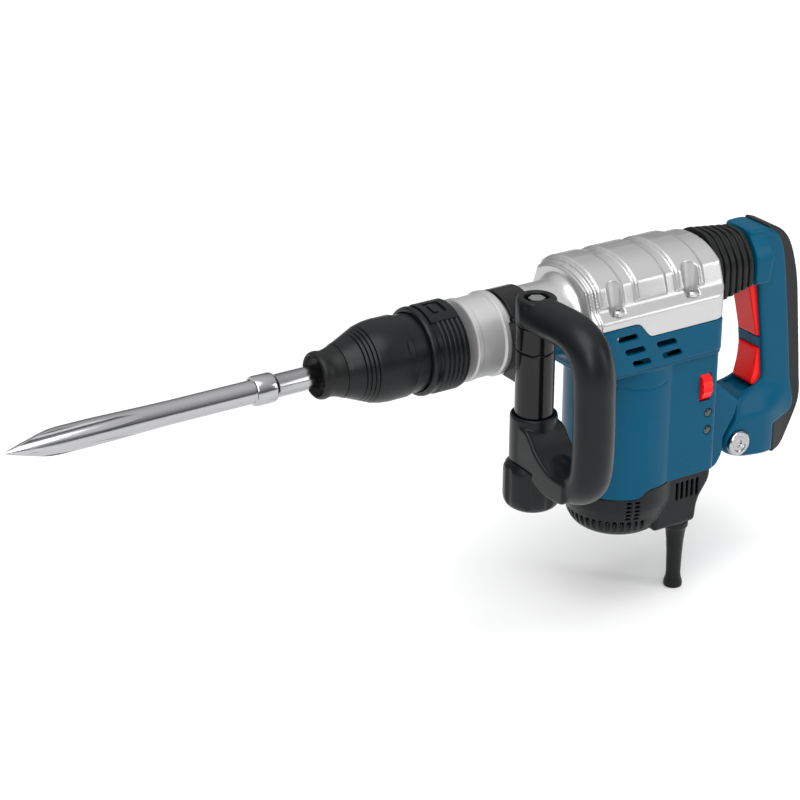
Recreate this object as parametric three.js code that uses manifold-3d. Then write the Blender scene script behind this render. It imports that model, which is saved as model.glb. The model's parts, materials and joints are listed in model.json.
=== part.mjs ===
// Demolition hammer with a pointed chisel, D-shaped auxiliary handle and hinged rear handle.
// Millimetres. The tool axis runs along X with the chisel towards -X, and +Z is up.
// Sub-parts are drawn about the tool axis (y = 0, z = 0). The last step moves the whole
// group so that the origin is the bottom centre of its bounding box.
import * as THREE from 'three';
import { mergeVertices } from 'three/addons/utils/BufferGeometryUtils.js';
import Module from 'manifold-3d';

const wasm = await Module();
wasm.setup();

// ---- driving sizes -------------------------------------------------------------------

const GAP = 0.3;                    // running gap between separate pieces
const SEGMENTS = 20;                // facets round a full circle on large turned parts
const SMALL_SEGMENTS = 12;          // facets round a full circle on small turned parts

const SHANK_RADIUS = 9;             // 18 mm tool shank
const CHISEL_TIP_X = -365;
const CHISEL_END_X = -12;
const FLUTE_END_X = -262;
const ROLLER_X = -73.5;             // locking rollers
const ROLLER_RADIUS = 3;
const ROLLER_CENTRE_Z = 10.2;

const HOLDER_RADIUS = 14;           // outside of the steel tool holder
const HOLDER_BORE = SHANK_RADIUS + GAP;
const CAP_FRONT_X = -118;
const SLEEVE_FRONT_X = -98.7;
const SLEEVE_REAR_X = -35.5;
const RING_FRONT_X = -33;
const RING_REAR_X = 0;
const COLLAR_REAR_X = 40;

const CYLINDER_BORE = 13;
const CYLINDER_RADIUS = 16;
const CRANK_X = 134;
const CRANK_THROW = 13;
const CONROD_LENGTH = 44;
const PISTON_PIN_X = CRANK_X - Math.sqrt(CONROD_LENGTH ** 2 - CRANK_THROW ** 2);
const GEAR_MODULE = 1.5;
const GEAR_TEETH = 40;
const PINION_TEETH = 8;
const MOTOR_X = CRANK_X + GEAR_MODULE * (GEAR_TEETH + PINION_TEETH) / 2;

const NECK_RADIUS = 29.3;
const SEAT_BORE = 29.9;             // faceted bore that still turns on the faceted neck
const CORE_RADIUS = 24;             // bearing tube of the gear housing inside the lower shell
const HOUSING_RADIUS = 43.5;        // round top of the gear housing
const HOUSING_HALF_WIDTH = 50;
const HOUSING_REAR_X = 240;
const WALL = 4.5;
const PART_LINE_FRONT_Z = 0.5;      // joint between gear housing and motor housing
const PART_LINE_REAR_Z = -13;

const CAN_RADIUS = 47;              // motor can
const CAP_LINE_FRONT_Z = -158;      // joint between motor housing and end cap
const CAP_LINE_REAR_Z = -151;
const CAP_BOTTOM_Z = -197;
const SLEEVE_X = 219;               // cable sleeve
const SLEEVE_Y = -20;
const SLEEVE_BOTTOM_Z = -266;

const POST_X = 46;                  // clamp post of the auxiliary handle
const POST_Y = -53;
const POST_RADIUS = 14.5;
const GRIP_Y = -129;
const GRIP_RADIUS = 15;
const KNOB_RADIUS = 23;

const PIVOT_X = 274;                // rear handle hinge
const PIVOT_Z = -143;
const HANDLE_FRONT_X = 284;
const GRIP_HALF_WIDTH = 17;
const FLARE_HALF_WIDTH = 28;        // handle at its top plate and round the hinge
const TRIGGER_HALF_WIDTH = 12.5;
const TRIGGER_PIVOT = [303.5, -49];
const BUTTON_PIVOT = [306.5, -73];

const WHEEL_CENTRE = [223, -33, -74];
const WHEEL_RADIUS = 15;

// ---- materials -----------------------------------------------------------------------

function material(color, roughness, metalness) {
  return new THREE.MeshStandardMaterial({ color, roughness, metalness });
}

const STEEL = material(0xb9bcbf, 0.28, 0.95);
const DARK_STEEL = material(0x6f7275, 0.4, 0.9);
const BRIGHT_STEEL = material(0xd8dadc, 0.18, 0.95);
const SILVER_PAINT = material(0xc9c9c7, 0.42, 0.55);
const ALUMINIUM = material(0xd2d2d0, 0.3, 0.85);
const BLACK_PLASTIC = material(0x1d1e20, 0.5, 0.0);
const GLOSS_BLACK = material(0x141416, 0.25, 0.0);
const GREY_RUBBER = material(0x3c3c3e, 0.75, 0.0);
const BLACK_RUBBER = material(0x151516, 0.8, 0.0);
const BLUE_PLASTIC = material(0x1b6f8f, 0.42, 0.0);
const RED_PLASTIC = material(0xe2452f, 0.38, 0.0);
const CREAM_PLASTIC = material(0xd9d2bd, 0.55, 0.0);
const COPPER = material(0xb5673a, 0.32, 0.9);
const BRASS = material(0xc09a4b, 0.3, 0.9);
const CARBON = material(0x2a2a2c, 0.7, 0.1);
const LENS = material(0x26343a, 0.2, 0.0);
const GREEN_BOARD = material(0x2c5a44, 0.5, 0.0);

// ---- solid helpers -------------------------------------------------------------------

// A closed solid from any closed three.js geometry, with its faces turned outwards.
function solid(source) {
  source.deleteAttribute('normal');
  source.deleteAttribute('uv');
  const geometry = mergeVertices(source, 1e-4);
  const position = geometry.attributes.position;
  const corners = [0, 1, 2].map(() => new THREE.Vector3());
  const triangles = [];
  let volume = 0;
  for (let i = 0; i < geometry.index.count; i += 3) {
    const ids = [0, 1, 2].map((k) => geometry.index.getX(i + k));
    if (new Set(ids).size < 3) continue;
    ids.forEach((id, k) => corners[k].fromBufferAttribute(position, id));
    volume += corners[0].dot(corners[1].clone().cross(corners[2]));
    triangles.push(ids);
  }
  if (volume < 0) triangles.forEach((ids) => ids.reverse());
  return new wasm.Manifold(new wasm.Mesh({
    numProp: 3,
    vertProperties: new Float32Array(position.array),
    triVerts: new Uint32Array(triangles.flat()),
  }));
}

function join(...solids) {
  return solids.reduce((sum, piece) => sum.add(piece));
}

function cut(body, ...tools) {
  return tools.reduce((rest, tool) => rest.subtract(tool), body);
}

function box([x0, x1], [y0, y1], [z0, z1]) {
  const geometry = new THREE.BoxGeometry(x1 - x0, y1 - y0, z1 - z0);
  return solid(geometry.translate((x0 + x1) / 2, (y0 + y1) / 2, (z0 + z1) / 2));
}

const AXIS_TURN = {
  x: (geometry) => geometry.rotateZ(-Math.PI / 2),
  y: (geometry) => geometry,
  z: (geometry) => geometry.rotateX(Math.PI / 2),
};

// Turned solid. The profile is a list of [distance along the axis, radius].
function turned(axis, profile, centre = [0, 0, 0], segments = SEGMENTS) {
  const closed = profile[0][1] === 0 ? profile : [...profile, profile[0]];
  const points = closed.map(([along, radius]) => new THREE.Vector2(radius, along));
  const geometry = AXIS_TURN[axis](new THREE.LatheGeometry(points, segments));
  return solid(geometry.translate(...centre));
}

function rod(axis, radius, from, to, centre = [0, 0, 0], segments = SMALL_SEGMENTS) {
  return turned(axis, [[from, 0], [from, radius], [to, radius], [to, 0]], centre, segments);
}

function tube(axis, inner, outer, from, to, centre = [0, 0, 0], segments = SEGMENTS) {
  const profile = [[from, inner], [from, outer], [to, outer], [to, inner]];
  return turned(axis, profile, centre, segments);
}

// Closed outline through [a, b, corner radius] points.
function outline(points) {
  const shape = new THREE.Shape();
  points.forEach(([a, b, radius = 0], i) => {
    const before = points[(i + points.length - 1) % points.length];
    const after = points[(i + 1) % points.length];
    const start = towards([a, b], before, radius);
    const end = towards([a, b], after, radius);
    if (i === 0) shape.moveTo(...start);
    else shape.lineTo(...start);
    if (radius > 0) shape.quadraticCurveTo(a, b, ...end);
  });
  shape.closePath();
  return shape;
}

function towards(from, to, distance) {
  const length = Math.hypot(to[0] - from[0], to[1] - from[1]);
  const share = Math.min(distance / length, 0.48);
  return [from[0] + (to[0] - from[0]) * share, from[1] + (to[1] - from[1]) * share];
}

const PRISM_BASIS = {
  x: [[0, 1, 0], [0, 0, 1], [1, 0, 0]],       // outline in y, z
  y: [[1, 0, 0], [0, 0, 1], [0, -1, 0]],      // outline in x, z
  z: [[1, 0, 0], [0, 1, 0], [0, 0, 1]],       // outline in x, y
};

// Straight solid with the outline swept along an axis from one coordinate to another.
function prism(axis, shape, from, to, bevel = 0, curveSegments = 3) {
  const geometry = new THREE.ExtrudeGeometry(shape, {
    depth: to - from - 2 * bevel,
    curveSegments,
    bevelEnabled: bevel > 0,
    bevelThickness: bevel,
    bevelSize: bevel,
    bevelOffset: -bevel,
    bevelSegments: 1,
  });
  const basis = PRISM_BASIS[axis].map((row) => new THREE.Vector3(...row));
  geometry.applyMatrix4(new THREE.Matrix4().makeBasis(...basis));
  geometry.computeBoundingBox();
  const shift = new THREE.Vector3();
  shift[axis] = from - geometry.boundingBox.min[axis];
  return solid(geometry.translate(shift.x, shift.y, shift.z));
}

// Round bar along a curve.
function bar(curve, radius, steps, sides) {
  const section = new THREE.Shape();
  section.absarc(0, 0, radius, 0, 2 * Math.PI, false);
  const geometry = new THREE.ExtrudeGeometry(section, {
    steps,
    curveSegments: sides,
    extrudePath: curve,
    bevelEnabled: false,
  });
  return solid(geometry);
}

class Helix extends THREE.Curve {
  constructor(centre, radius, from, to, turns) {
    super();
    Object.assign(this, { centre, radius, from, to, turns });
  }

  getPoint(t, target = new THREE.Vector3()) {
    const angle = 2 * Math.PI * this.turns * t;
    return target.set(
      this.from + (this.to - this.from) * t,
      this.centre[0] + this.radius * Math.cos(angle),
      this.centre[1] + this.radius * Math.sin(angle),
    );
  }
}

// Angles 0..360 in equal steps, in radians.
function around(count, start = 0) {
  return Array.from({ length: count }, (_, i) => start + (2 * Math.PI * i) / count);
}

function mirrored(points) {
  return [...points, ...points.slice().reverse().map(([y, z, radius]) => [-y, z, radius])];
}

const group = new THREE.Group();
group.name = 'demolition_hammer';

function node(name, surface, body) {
  const mesh = body.getMesh();
  const geometry = new THREE.BufferGeometry();
  geometry.setAttribute('position', new THREE.BufferAttribute(mesh.vertProperties, 3));
  geometry.setIndex(new THREE.BufferAttribute(mesh.triVerts, 1));
  geometry.computeVertexNormals();
  const item = new THREE.Mesh(geometry, surface);
  item.name = name;
  group.add(item);
}

// ---- chisel --------------------------------------------------------------------------

function chisel() {
  const blank = turned('x', [
    [CHISEL_TIP_X, 0], [CHISEL_TIP_X, 1.2], [-340, 8.4], [-326, 10.2], [-300, 10.2],
    [FLUTE_END_X, 9.2], [-172, SHANK_RADIUS], [-170, 11.5], [-154, 11.5],
    [-151, SHANK_RADIUS], [CHISEL_END_X - 1.5, SHANK_RADIUS], [CHISEL_END_X, 7.5],
    [CHISEL_END_X, 0],
  ], [0, 0, 0], 20);
  const flutes = around(4, Math.PI / 4).map(flute);
  const recesses = [1, -1].map((side) => {
    const z = side > 0 ? [6.8, 12] : [-12, -6.8];
    return box([-77, -51], [-4.6, 4.6], z);
  });
  const drives = [1, -1].map((side) => {
    const y = side > 0 ? [6.8, 12] : [-12, -6.8];
    return box([-85, CHISEL_END_X + 1], y, [-3, 3]);
  });
  return cut(blank, ...flutes, ...recesses, ...drives);
}

// Groove that is deep near the tip and runs out at the round shank.
function flute(angle) {
  const radius = 5.5;
  const slope = 0.06;
  const length = 130;
  const geometry = new THREE.CylinderGeometry(radius, radius, length, 12);
  geometry.rotateZ(-Math.PI / 2);
  geometry.rotateY(-Math.atan(slope));
  const middle = FLUTE_END_X - length / 2 + 6;
  geometry.translate(middle, 0, 9.3 + radius + slope * (middle - FLUTE_END_X));
  return solid(geometry.rotateX(angle));
}

// ---- tool holder ---------------------------------------------------------------------

function toolHolder() {
  const body = turned('x', [
    [-104, HOLDER_BORE], [-104, 12.8], [-102.5, HOLDER_RADIUS], [8.7, HOLDER_RADIUS],
    [8.7, HOLDER_BORE],
  ]);
  const windows = box([ROLLER_X - 3.4, ROLLER_X + 3.4], [-4.6, 4.6], [-16, 16]);
  const splines = [1, -1].map((side) => {
    const y = side > 0 ? [7.2, 10] : [-10, -7.2];
    return box([-68, -30], y, [-2.6, 2.6]);
  });
  return join(cut(body, windows), ...splines);
}

function dustCap() {
  return turned('x', [
    [CAP_FRONT_X, 9.5], [CAP_FRONT_X, 10.8], [-116, 14], [-112, 17.6], [-107.5, 20],
    [-105, 20.4], [-99, 20.4], [-99, HOLDER_RADIUS + GAP], [-104.4, HOLDER_RADIUS + GAP],
    [-104.4, 9.5],
  ]);
}

// Pulled back, its inner cone lets the rollers move out of the shank.
function lockingSleeve() {
  const body = turned('x', [
    [SLEEVE_FRONT_X, HOLDER_RADIUS + 0.4], [SLEEVE_FRONT_X, 20.8], [-95, 21.6],
    [-94, 23.4], [-88, 24.6], [-87, 26.4], [-81, 28], [-80, 29.6], [-74, 31],
    [-62, 32.2], [-46, 32.2], [-44.5, 31], [-24, 30.4], [-24, 27.5], [-65, 23],
    [-66, 14.4], [-71.5, 14.4], [-89.5, 20.7], [-90.2, HOLDER_RADIUS + 0.4],
  ]);
  const pad = box([-60, -48], [-34, -31.2], [-10, 10]);
  return cut(body, pad);
}

function sleeveSpring() {
  return bar(new Helix([0, 0], 17.4, -64.3, -18, 4), 1.1, 28, 2);
}

function lockRoller(side) {
  return rod('y', ROLLER_RADIUS, -4.2, 4.2, [ROLLER_X, 0, side * ROLLER_CENTRE_Z], 16);
}

function adjusterRing() {
  const profile = [
    [RING_FRONT_X, 31.6], [RING_FRONT_X, 33.8], [-31.5, 34.8], [-26.5, 34.8],
    [-26, 33.6], [-23.5, 33.6], [-23, 35.2], [-19, 35.2], [-18.5, 33.6], [-16, 33.6],
    [-15.5, 35.2], [-3, 35], [RING_REAR_X, 33], [RING_REAR_X, HOLDER_RADIUS + GAP],
    [-12, HOLDER_RADIUS + GAP], [-12, 31.6],
  ];
  const notch = box([-25, -8], [-9, 9], [34.2, 37]);
  return cut(turned('x', profile), notch);
}

function neckCollar() {
  return turned('x', [
    [8, CYLINDER_RADIUS + GAP], [8, 31.5], [9, 33], [13, 33], [13.6, 32.2], [33, 32.6],
    [34, 34], [39, 34], [COLLAR_REAR_X, 33], [COLLAR_REAR_X, CYLINDER_RADIUS + GAP],
  ]);
}

// ---- hammer mechanism ----------------------------------------------------------------

function cylinder() {
  return turned('x', [
    [9, 9.4], [9, CYLINDER_RADIUS], [99, CYLINDER_RADIUS], [99, CYLINDER_BORE],
    [11.5, CYLINDER_BORE], [11.5, 9.4],
  ]);
}

function beatPiece() {
  return turned('x', [
    [-11.6, 0], [-11.6, 7.4], [-10, 8.9], [22, 8.9], [22, 12.5], [28, 12.5], [29.5, 8],
    [29.5, 0],
  ], [0, 0, 0], 16);
}

function striker() {
  return turned('x', [
    [31, 0], [31, 8], [32.5, 12.6], [44, 12.6], [44.6, 11.6], [47.4, 11.6], [48, 12.6],
    [61, 12.6], [62, 11.6], [62, 0],
  ], [0, 0, 0], 16);
}

function piston() {
  const body = turned('x', [
    [77.5, 0], [77.5, 12.6], [79.5, 12.6], [80, 11.6], [82.5, 11.6], [83, 12.6],
    [104, 12.6], [104, 0],
  ], [0, 0, 0], 16);
  const slot = box([84.5, 105], [-14, 14], [-5, 5]);
  const pinHole = rod('z', 3.5, -14, 14, [PISTON_PIN_X, 0, 0]);
  return cut(body, slot, pinHole);
}

function wristPin() {
  return rod('z', 3.2, -10.5, 10.5, [PISTON_PIN_X, 0, 0]);
}

function conrod() {
  const lean = Math.asin(CRANK_THROW / CONROD_LENGTH);
  const eye = [CRANK_X, CRANK_THROW, 0];
  const bodies = join(
    rod('z', 6.6, -4.4, 4.4, [PISTON_PIN_X, 0, 0]),
    rod('z', 9, -4.4, 4.4, eye, 24),
  );
  const web = new THREE.BoxGeometry(CONROD_LENGTH, 8, 6.4);
  web.translate(CONROD_LENGTH / 2, 0, 0).rotateZ(lean).translate(PISTON_PIN_X, 0, 0);
  const holes = [
    rod('z', 3.5, -6, 6, [PISTON_PIN_X, 0, 0]),
    rod('z', 5, -6, 6, eye),
  ];
  return cut(join(bodies, solid(web)), ...holes);
}

function gearOutline(teeth, offset) {
  const pitch = GEAR_MODULE * teeth / 2;
  const root = pitch - 1.2 * GEAR_MODULE;
  const tip = pitch + 0.8 * GEAR_MODULE;
  const step = 2 * Math.PI / teeth;
  const shape = new THREE.Shape();
  around(teeth, offset * step).forEach((angle, i) => {
    const corners = [[root, -0.25], [tip, -0.1], [tip, 0.1], [root, 0.25]];
    corners.forEach(([radius, share], k) => {
      const turn = angle + share * step;
      const point = [radius * Math.cos(turn), radius * Math.sin(turn)];
      if (i + k === 0) shape.moveTo(...point);
      else shape.lineTo(...point);
    });
  });
  shape.closePath();
  return shape;
}

function gearWheel(teeth, offset, centreX, from, to) {
  const geometry = new THREE.ExtrudeGeometry(gearOutline(teeth, offset), {
    depth: to - from,
    bevelEnabled: false,
  });
  return solid(geometry.translate(centreX, 0, from));
}

function crankGear() {
  const wheel = gearWheel(GEAR_TEETH, 0, CRANK_X, -22, -14.6);
  const shaft = rod('z', 8, -38, -21, [CRANK_X, 0, 0], 14);
  const pin = rod('z', 4.5, -15, -4.9, [CRANK_X, CRANK_THROW, 0]);
  return join(wheel, shaft, pin);
}

function bearing(centreX, inner, outer, from, to) {
  return tube('z', inner, outer, from, to, [centreX, 0, 0], 16);
}

// ---- motor ---------------------------------------------------------------------------

function armatureShaft() {
  const shaft = turned('z', [
    [-174, 0], [-174, 4], [-165, 4], [-164, 5.5], [-37, 5.5], [-36, 4.6], [-25, 4.6],
    [-25, 0],
  ], [MOTOR_X, 0, 0], 12);
  const pinion = gearWheel(PINION_TEETH, 0.5, MOTOR_X, -26, -13);
  return join(shaft, pinion);
}

function armatureCore() {
  const body = tube('z', 5.9, 24, -130, -76, [MOTOR_X, 0, 0], 16);
  const slots = around(8).map((angle) => {
    const geometry = new THREE.BoxGeometry(7, 2.4, 60);
    geometry.translate(22.5, 0, -103).rotateZ(angle).translate(MOTOR_X, 0, 0);
    return solid(geometry);
  });
  return cut(body, ...slots);
}

function commutator() {
  const body = tube('z', 5.9, 14, -152, -134, [MOTOR_X, 0, 0], 16);
  const slots = around(8).map((angle) => {
    const geometry = new THREE.BoxGeometry(2.4, 0.9, 30);
    geometry.translate(13.6, 0, -143).rotateZ(angle + 0.13).translate(MOTOR_X, 0, 0);
    return solid(geometry);
  });
  return cut(body, ...slots);
}

function motorFan() {
  const hub = tube('z', 5.8, 12, -66, -50, [MOTOR_X, 0, 0], 16);
  const plate = tube('z', 11, 38, -53, -50, [MOTOR_X, 0, 0], 20);
  const blades = around(6).map((angle) => {
    const geometry = new THREE.BoxGeometry(26, 1.8, 11);
    geometry.rotateZ(0.35).translate(24, 0, -58).rotateZ(angle).translate(MOTOR_X, 0, 0);
    return solid(geometry);
  });
  return join(hub, plate, ...blades);
}

function statorCore() {
  const ring = tube('z', 34, 42, -132, -74, [MOTOR_X, 0, 0], 20);
  const poles = [0, Math.PI].map((angle) => {
    const geometry = new THREE.BoxGeometry(12, 26, 58);
    geometry.translate(30, 0, -103).rotateZ(angle).translate(MOTOR_X, 0, 0);
    return solid(geometry);
  });
  const bore = rod('z', 25.5, -140, -60, [MOTOR_X, 0, 0], 20);
  return cut(join(ring, ...poles), bore);
}

// Coil round one stator pole.
function fieldWinding(side) {
  const near = MOTOR_X + side * 28.5;
  const far = MOTOR_X + side * 32.5;
  const x = near < far ? [near, far] : [far, near];
  const outer = box(x, [-19, 19], [-140, -66]);
  const inner = box([x[0] - 1, x[1] + 1], [-13.4, 13.4], [-132.4, -73.6]);
  const ring = rod('z', 33.6, -150, -60, [MOTOR_X, 0, 0], 16);
  return cut(outer, inner).intersect(ring);
}

function brushHolder(side) {
  const y = side > 0 ? [16, 38] : [-38, -16];
  const outer = box([MOTOR_X - 6, MOTOR_X + 6], y, [-149, -137]);
  const inner = box([MOTOR_X - 3.6, MOTOR_X + 3.6], [y[0] - 1, y[1] + 1], [-147, -139]);
  return cut(outer, inner);
}

function carbonBrush(side) {
  const y = side > 0 ? [14.6, 30] : [-30, -14.6];
  return box([MOTOR_X - 3.2, MOTOR_X + 3.2], y, [-146.6, -139.4]);
}

// ---- housings ------------------------------------------------------------------------

// Side outline of everything below the joint line of the two housings, lowered by a drop.
function belowPartLine(drop) {
  const front = PART_LINE_FRONT_Z - drop;
  const rear = PART_LINE_REAR_Z - drop;
  const shape = outline([
    [30, front], [148, front], [159, rear], [260, rear], [260, -300], [30, -300],
  ]);
  return prism('y', shape, -120, 120);
}

// Round nose shared by both housings, from the clamp seat to the shoulder.
function nose(inset) {
  const front = inset > 0 ? 69 : 70;
  return turned('x', [
    [front, 0], [front, 30.6 - inset], [97, 30.6 - inset], [104, 33 - inset],
    [111, 38.5 - inset], [118, 42 - inset], [126, HOUSING_RADIUS - inset], [126, 0],
  ]);
}

// Cross-section of the gear housing: round top, steep flanks, ledges and upright sides.
function housingSection(inset) {
  const wide = HOUSING_HALF_WIDTH - inset;
  const top = HOUSING_RADIUS - inset;
  const half = [[12, top - 1], [22, top - 4], [30, top - 8], [36 - inset, 31.5 - inset],
    [42 - inset, 14.5], [wide, 7], [wide, -30]];
  return outline(mirrored(half).reverse());
}

function belt(from, to) {
  const raised = prism('x', housingSection(-1.1), from, to, 0.8);
  return raised.intersect(box([from, to], [-47, 47], [16, 60]));
}

function gearHousing() {
  const shell = join(
    turned('x', [[40.3, 0], [40.3, NECK_RADIUS], [71, NECK_RADIUS], [71, 0]]),
    nose(0),
    prism('x', housingSection(0), 110, HOUSING_REAR_X, 5),
    belt(114, 138), belt(150, 182), belt(190, 218),
  );
  const corners = outline([
    [30, -60], [HOUSING_REAR_X, -HOUSING_HALF_WIDTH, 16],
    [HOUSING_REAR_X, HOUSING_HALF_WIDTH, 16], [30, 60],
  ]);
  const upper = cut(shell.intersect(prism('z', corners, -80, 80)), belowPartLine(0));
  const seat = turned('x', [[40.3, 0], [40.3, NECK_RADIUS], [70, NECK_RADIUS], [70, 0]]);
  const core = rod('x', CORE_RADIUS, 60, 101, [0, 0, 0], SEGMENTS);
  const inside = prism('x', housingSection(WALL), 118, HOUSING_REAR_X - WALL);
  const noseInside = cut(nose(WALL), box([0, 101], [-60, 60], [-60, 60]));
  const bore = rod('x', CYLINDER_RADIUS + GAP, 30, 140, [0, 0, 0], SEGMENTS);
  const pockets = screwPlaces().map(([x, y]) => rod('z', 7, 10, 60, [x, y, 0], 16));
  const shanks = screwPlaces().map(([x, y]) => rod('z', 2.5, -40, 20, [x, y, 0], 8));
  const bosses = screwPlaces().map(([x, y]) => rod('z', 6.5, -12.5, 10.4, [x, y * 0.96, 0], 8));
  const hollow = cut(upper, cut(inside, ...bosses), noseInside);
  const body = cut(join(hollow, seat, core), bore);
  return cut(body, ...pockets, ...shanks);
}

function screwPlaces() {
  return [[130, -44.5], [130, 44.5], [204, -43.5], [204, 43.5]];
}

function housingScrew([x, y]) {
  const head = turned('z', [
    [10.3, 0], [10.3, 4.4], [13.2, 4.4], [14.2, 3.4], [14.2, 2], [12.2, 2], [12.2, 0],
  ], [x, y, 0], 12);
  return join(head, rod('z', 2, -24, 11, [x, y, 0], 8));
}

// Solid shape of the motor housing before hollowing, shrunk by an inset.
function motorShape(inset) {
  const r = CAN_RADIUS - inset;
  const wide = HOUSING_HALF_WIDTH - inset;
  const boxWide = 43.5 - inset;
  const plan = outline([
    [108 + inset, -wide, 14], [HOUSING_REAR_X - 4 - inset, -wide, 8],
    [HOUSING_REAR_X - 4 - inset, wide, 8], [108 + inset, wide, 14],
  ]);
  const rearPlan = outline([
    [MOTOR_X, -boxWide], [237.5 - inset, -boxWide, 5], [237.5 - inset, boxWide, 5],
    [MOTOR_X, boxWide],
  ]);
  return join(
    prism('z', plan, -42 + inset * 0.8, 8),
    rod('z', r, -180, -30, [MOTOR_X, 0, 0], SEGMENTS),
    prism('z', rearPlan, -180, -30),
  );
}

function lug() {
  const shape = outline([
    [234, -76], [249, -83, 4], [269, -102, 3], [267, -117, 4], [257.2, -131, 4],
    [257.2, -148, 3], [250, -159, 4], [238.6, -160], [238.6, -150], [234, -150],
  ]);
  const tongue = outline([[240, -131], [275, -131, 6], [286, -143, 8], [275, -155, 6],
    [240, -155]]);
  return join(prism('y', shape, -30, 30, 2), prism('y', tongue, -7, 7));
}

function vent(x0, x1, z, side) {
  const y = side > 0 ? [40, 60] : [-60, -40];
  return box([x0, x1], y, [z - 2.4, z + 2.4]);
}

function motorVents() {
  const rows = [[126, 148, -10], [134, 156, -22.3], [142, 162, -33.6], [165, 186, -22],
    [171, 192, -32.7]];
  return rows.flatMap(([x0, x1, z]) => [vent(x0, x1, z, 1), vent(x0, x1, z, -1)]);
}

function aboveCapLine(lift) {
  const shape = outline([
    [60, CAP_LINE_FRONT_Z + lift], [158, CAP_LINE_FRONT_Z + lift],
    [168, CAP_LINE_REAR_Z + lift], [260, CAP_LINE_REAR_Z + lift], [260, 60], [60, 60],
  ]);
  return prism('y', shape, -120, 120);
}

function motorHousing() {
  const lowerNose = cut(nose(0), rod('x', CORE_RADIUS + GAP, 60, 103, [0, 0, 0], SEGMENTS));
  const outer = join(cut(motorShape(0), rod('x', CORE_RADIUS + GAP, 60, 103)), lowerNose)
    .intersect(belowPartLine(GAP))
    .intersect(aboveCapLine(0));
  const noseInside = cut(nose(WALL), box([0, 101.5], [-60, 60], [-60, 60]));
  const floor = tube('z', 13.3, CAN_RADIUS - 2, -36, -28, [MOTOR_X, 0, 0], 20);
  const crankSeat = rod('z', 18, -41, -24.5, [CRANK_X, 0, 0], 16);
  const crankBore = join(
    rod('z', 15.4, -34.3, 0, [CRANK_X, 0, 0], 18),
    rod('z', 8.8, -38.4, 0, [CRANK_X, 0, 0], 12),
  );
  const hollow = cut(outer, motorShape(4), noseInside);
  const inner = cut(join(crankSeat, floor), crankBore,
    rod('z', 13.4, -40, -20, [MOTOR_X, 0, 0], 18)).intersect(motorShape(3));
  const [wx, wy, wz] = WHEEL_CENTRE;
  const wheelWindow = rod('x', WHEEL_RADIUS + 0.6, wx - 5.4, wx + 5.4, [0, wy, wz], 32);
  const lights = lightPlaces().map(([x, z]) => rod('y', 3.9, -60, -31, [x, 0, z], 16));
  const screws = screwPlaces().map(([x, y]) => rod('z', 2.5, -26, 10, [x, y, 0], 8));
  const bosses = screwPlaces().map(([x, y]) => rod('z', 5, -30, 10, [x, y, 0], 8))
    .map((boss) => boss.intersect(belowPartLine(GAP)).intersect(motorShape(1)));
  const pivotBore = rod('y', 4.3, -60, 60, [PIVOT_X, 0, PIVOT_Z]);
  const body = join(cut(hollow, wheelWindow, ...lights), lug(), inner, ...bosses);
  return cut(body, pivotBore, ...screws, ...motorVents());
}

function lightPlaces() {
  return [[227.5, -98], [227.5, -113.5]];
}

function indicatorLight([x, z]) {
  return turned('y', [[-44.1, 0], [-44.1, 2], [-43.1, 3.5], [-35.5, 3.5], [-35.5, 0]],
    [x, 0, z], 16);
}

function speedWheel() {
  const [x, y, z] = WHEEL_CENTRE;
  const shape = new THREE.Shape();
  around(32).forEach((angle, i) => {
    const radius = i % 2 ? WHEEL_RADIUS : WHEEL_RADIUS - 0.7;
    const point = [y + radius * Math.cos(angle), z + radius * Math.sin(angle)];
    if (i === 0) shape.moveTo(...point);
    else shape.lineTo(...point);
  });
  return prism('x', shape, x - 4.6, x + 4.6);
}

// Black cap below the motor: round bowl in front, box with the cable outlet behind.
function capShape(inset) {
  const r = CAN_RADIUS - inset;
  const bottom = CAP_BOTTOM_Z + inset;
  const bowl = turned('z', [
    [-120, 0], [-120, r - 0.4], [-166, r - 0.4], [-172, r - 1.6], [-176, r - 3],
    [-186, r - 5.5], [-193, r - 9.5], [bottom, r - 14], [bottom, 0],
  ], [MOTOR_X, 0, 0], SEGMENTS);
  const side = outline([
    [190, -120], [237 - inset, -120], [237 - inset, -161, 5],
    [225 - inset, -178, 6], [223 - inset, bottom, 3], [180, bottom],
  ]);
  return join(bowl, prism('y', side, -40 + inset, 40 - inset, inset > 0 ? 0 : 2));
}

function capVents() {
  const front = [0, 1].flatMap((column) => [0, 1].map((row) => {
    const angle = THREE.MathUtils.degToRad(-112 + column * 9);
    const geometry = new THREE.BoxGeometry(14, 4.6, 4);
    geometry.translate(CAN_RADIUS, 0, 0).rotateZ(angle);
    return solid(geometry.translate(MOTOR_X, 0, -164 - row * 6.5));
  }));
  const rear = [0, 1, 2, 3, 4].flatMap((i) => [1, -1].map((side) => {
    const x = 201 + i * 5.2;
    const y = side > 0 ? [32, 47] : [-47, -32];
    return box([x, x + 2.4], y, [-172, -158]);
  }));
  return [...front, ...rear];
}

function endCap() {
  const below = cut(capShape(0), aboveCapLine(-GAP));
  const bearingSeat = tube('z', 13.4, 17, -194, -163, [MOTOR_X, 0, 0], 18);
  const hollow = cut(below, capShape(3.4));
  const cableHole = rod('z', 5, -210, -190, [SLEEVE_X, SLEEVE_Y, 0]);
  const flatFoot = box([MOTOR_X - 26, MOTOR_X + 26], [-26, 26], [CAP_BOTTOM_Z - 5,
    CAP_BOTTOM_Z]);
  const collar = rod('z', 11, -203, -194, [SLEEVE_X - 4, SLEEVE_Y, 0], 20);
  return cut(join(hollow, bearingSeat, collar), ...capVents(), cableHole, flatFoot);
}

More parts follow.
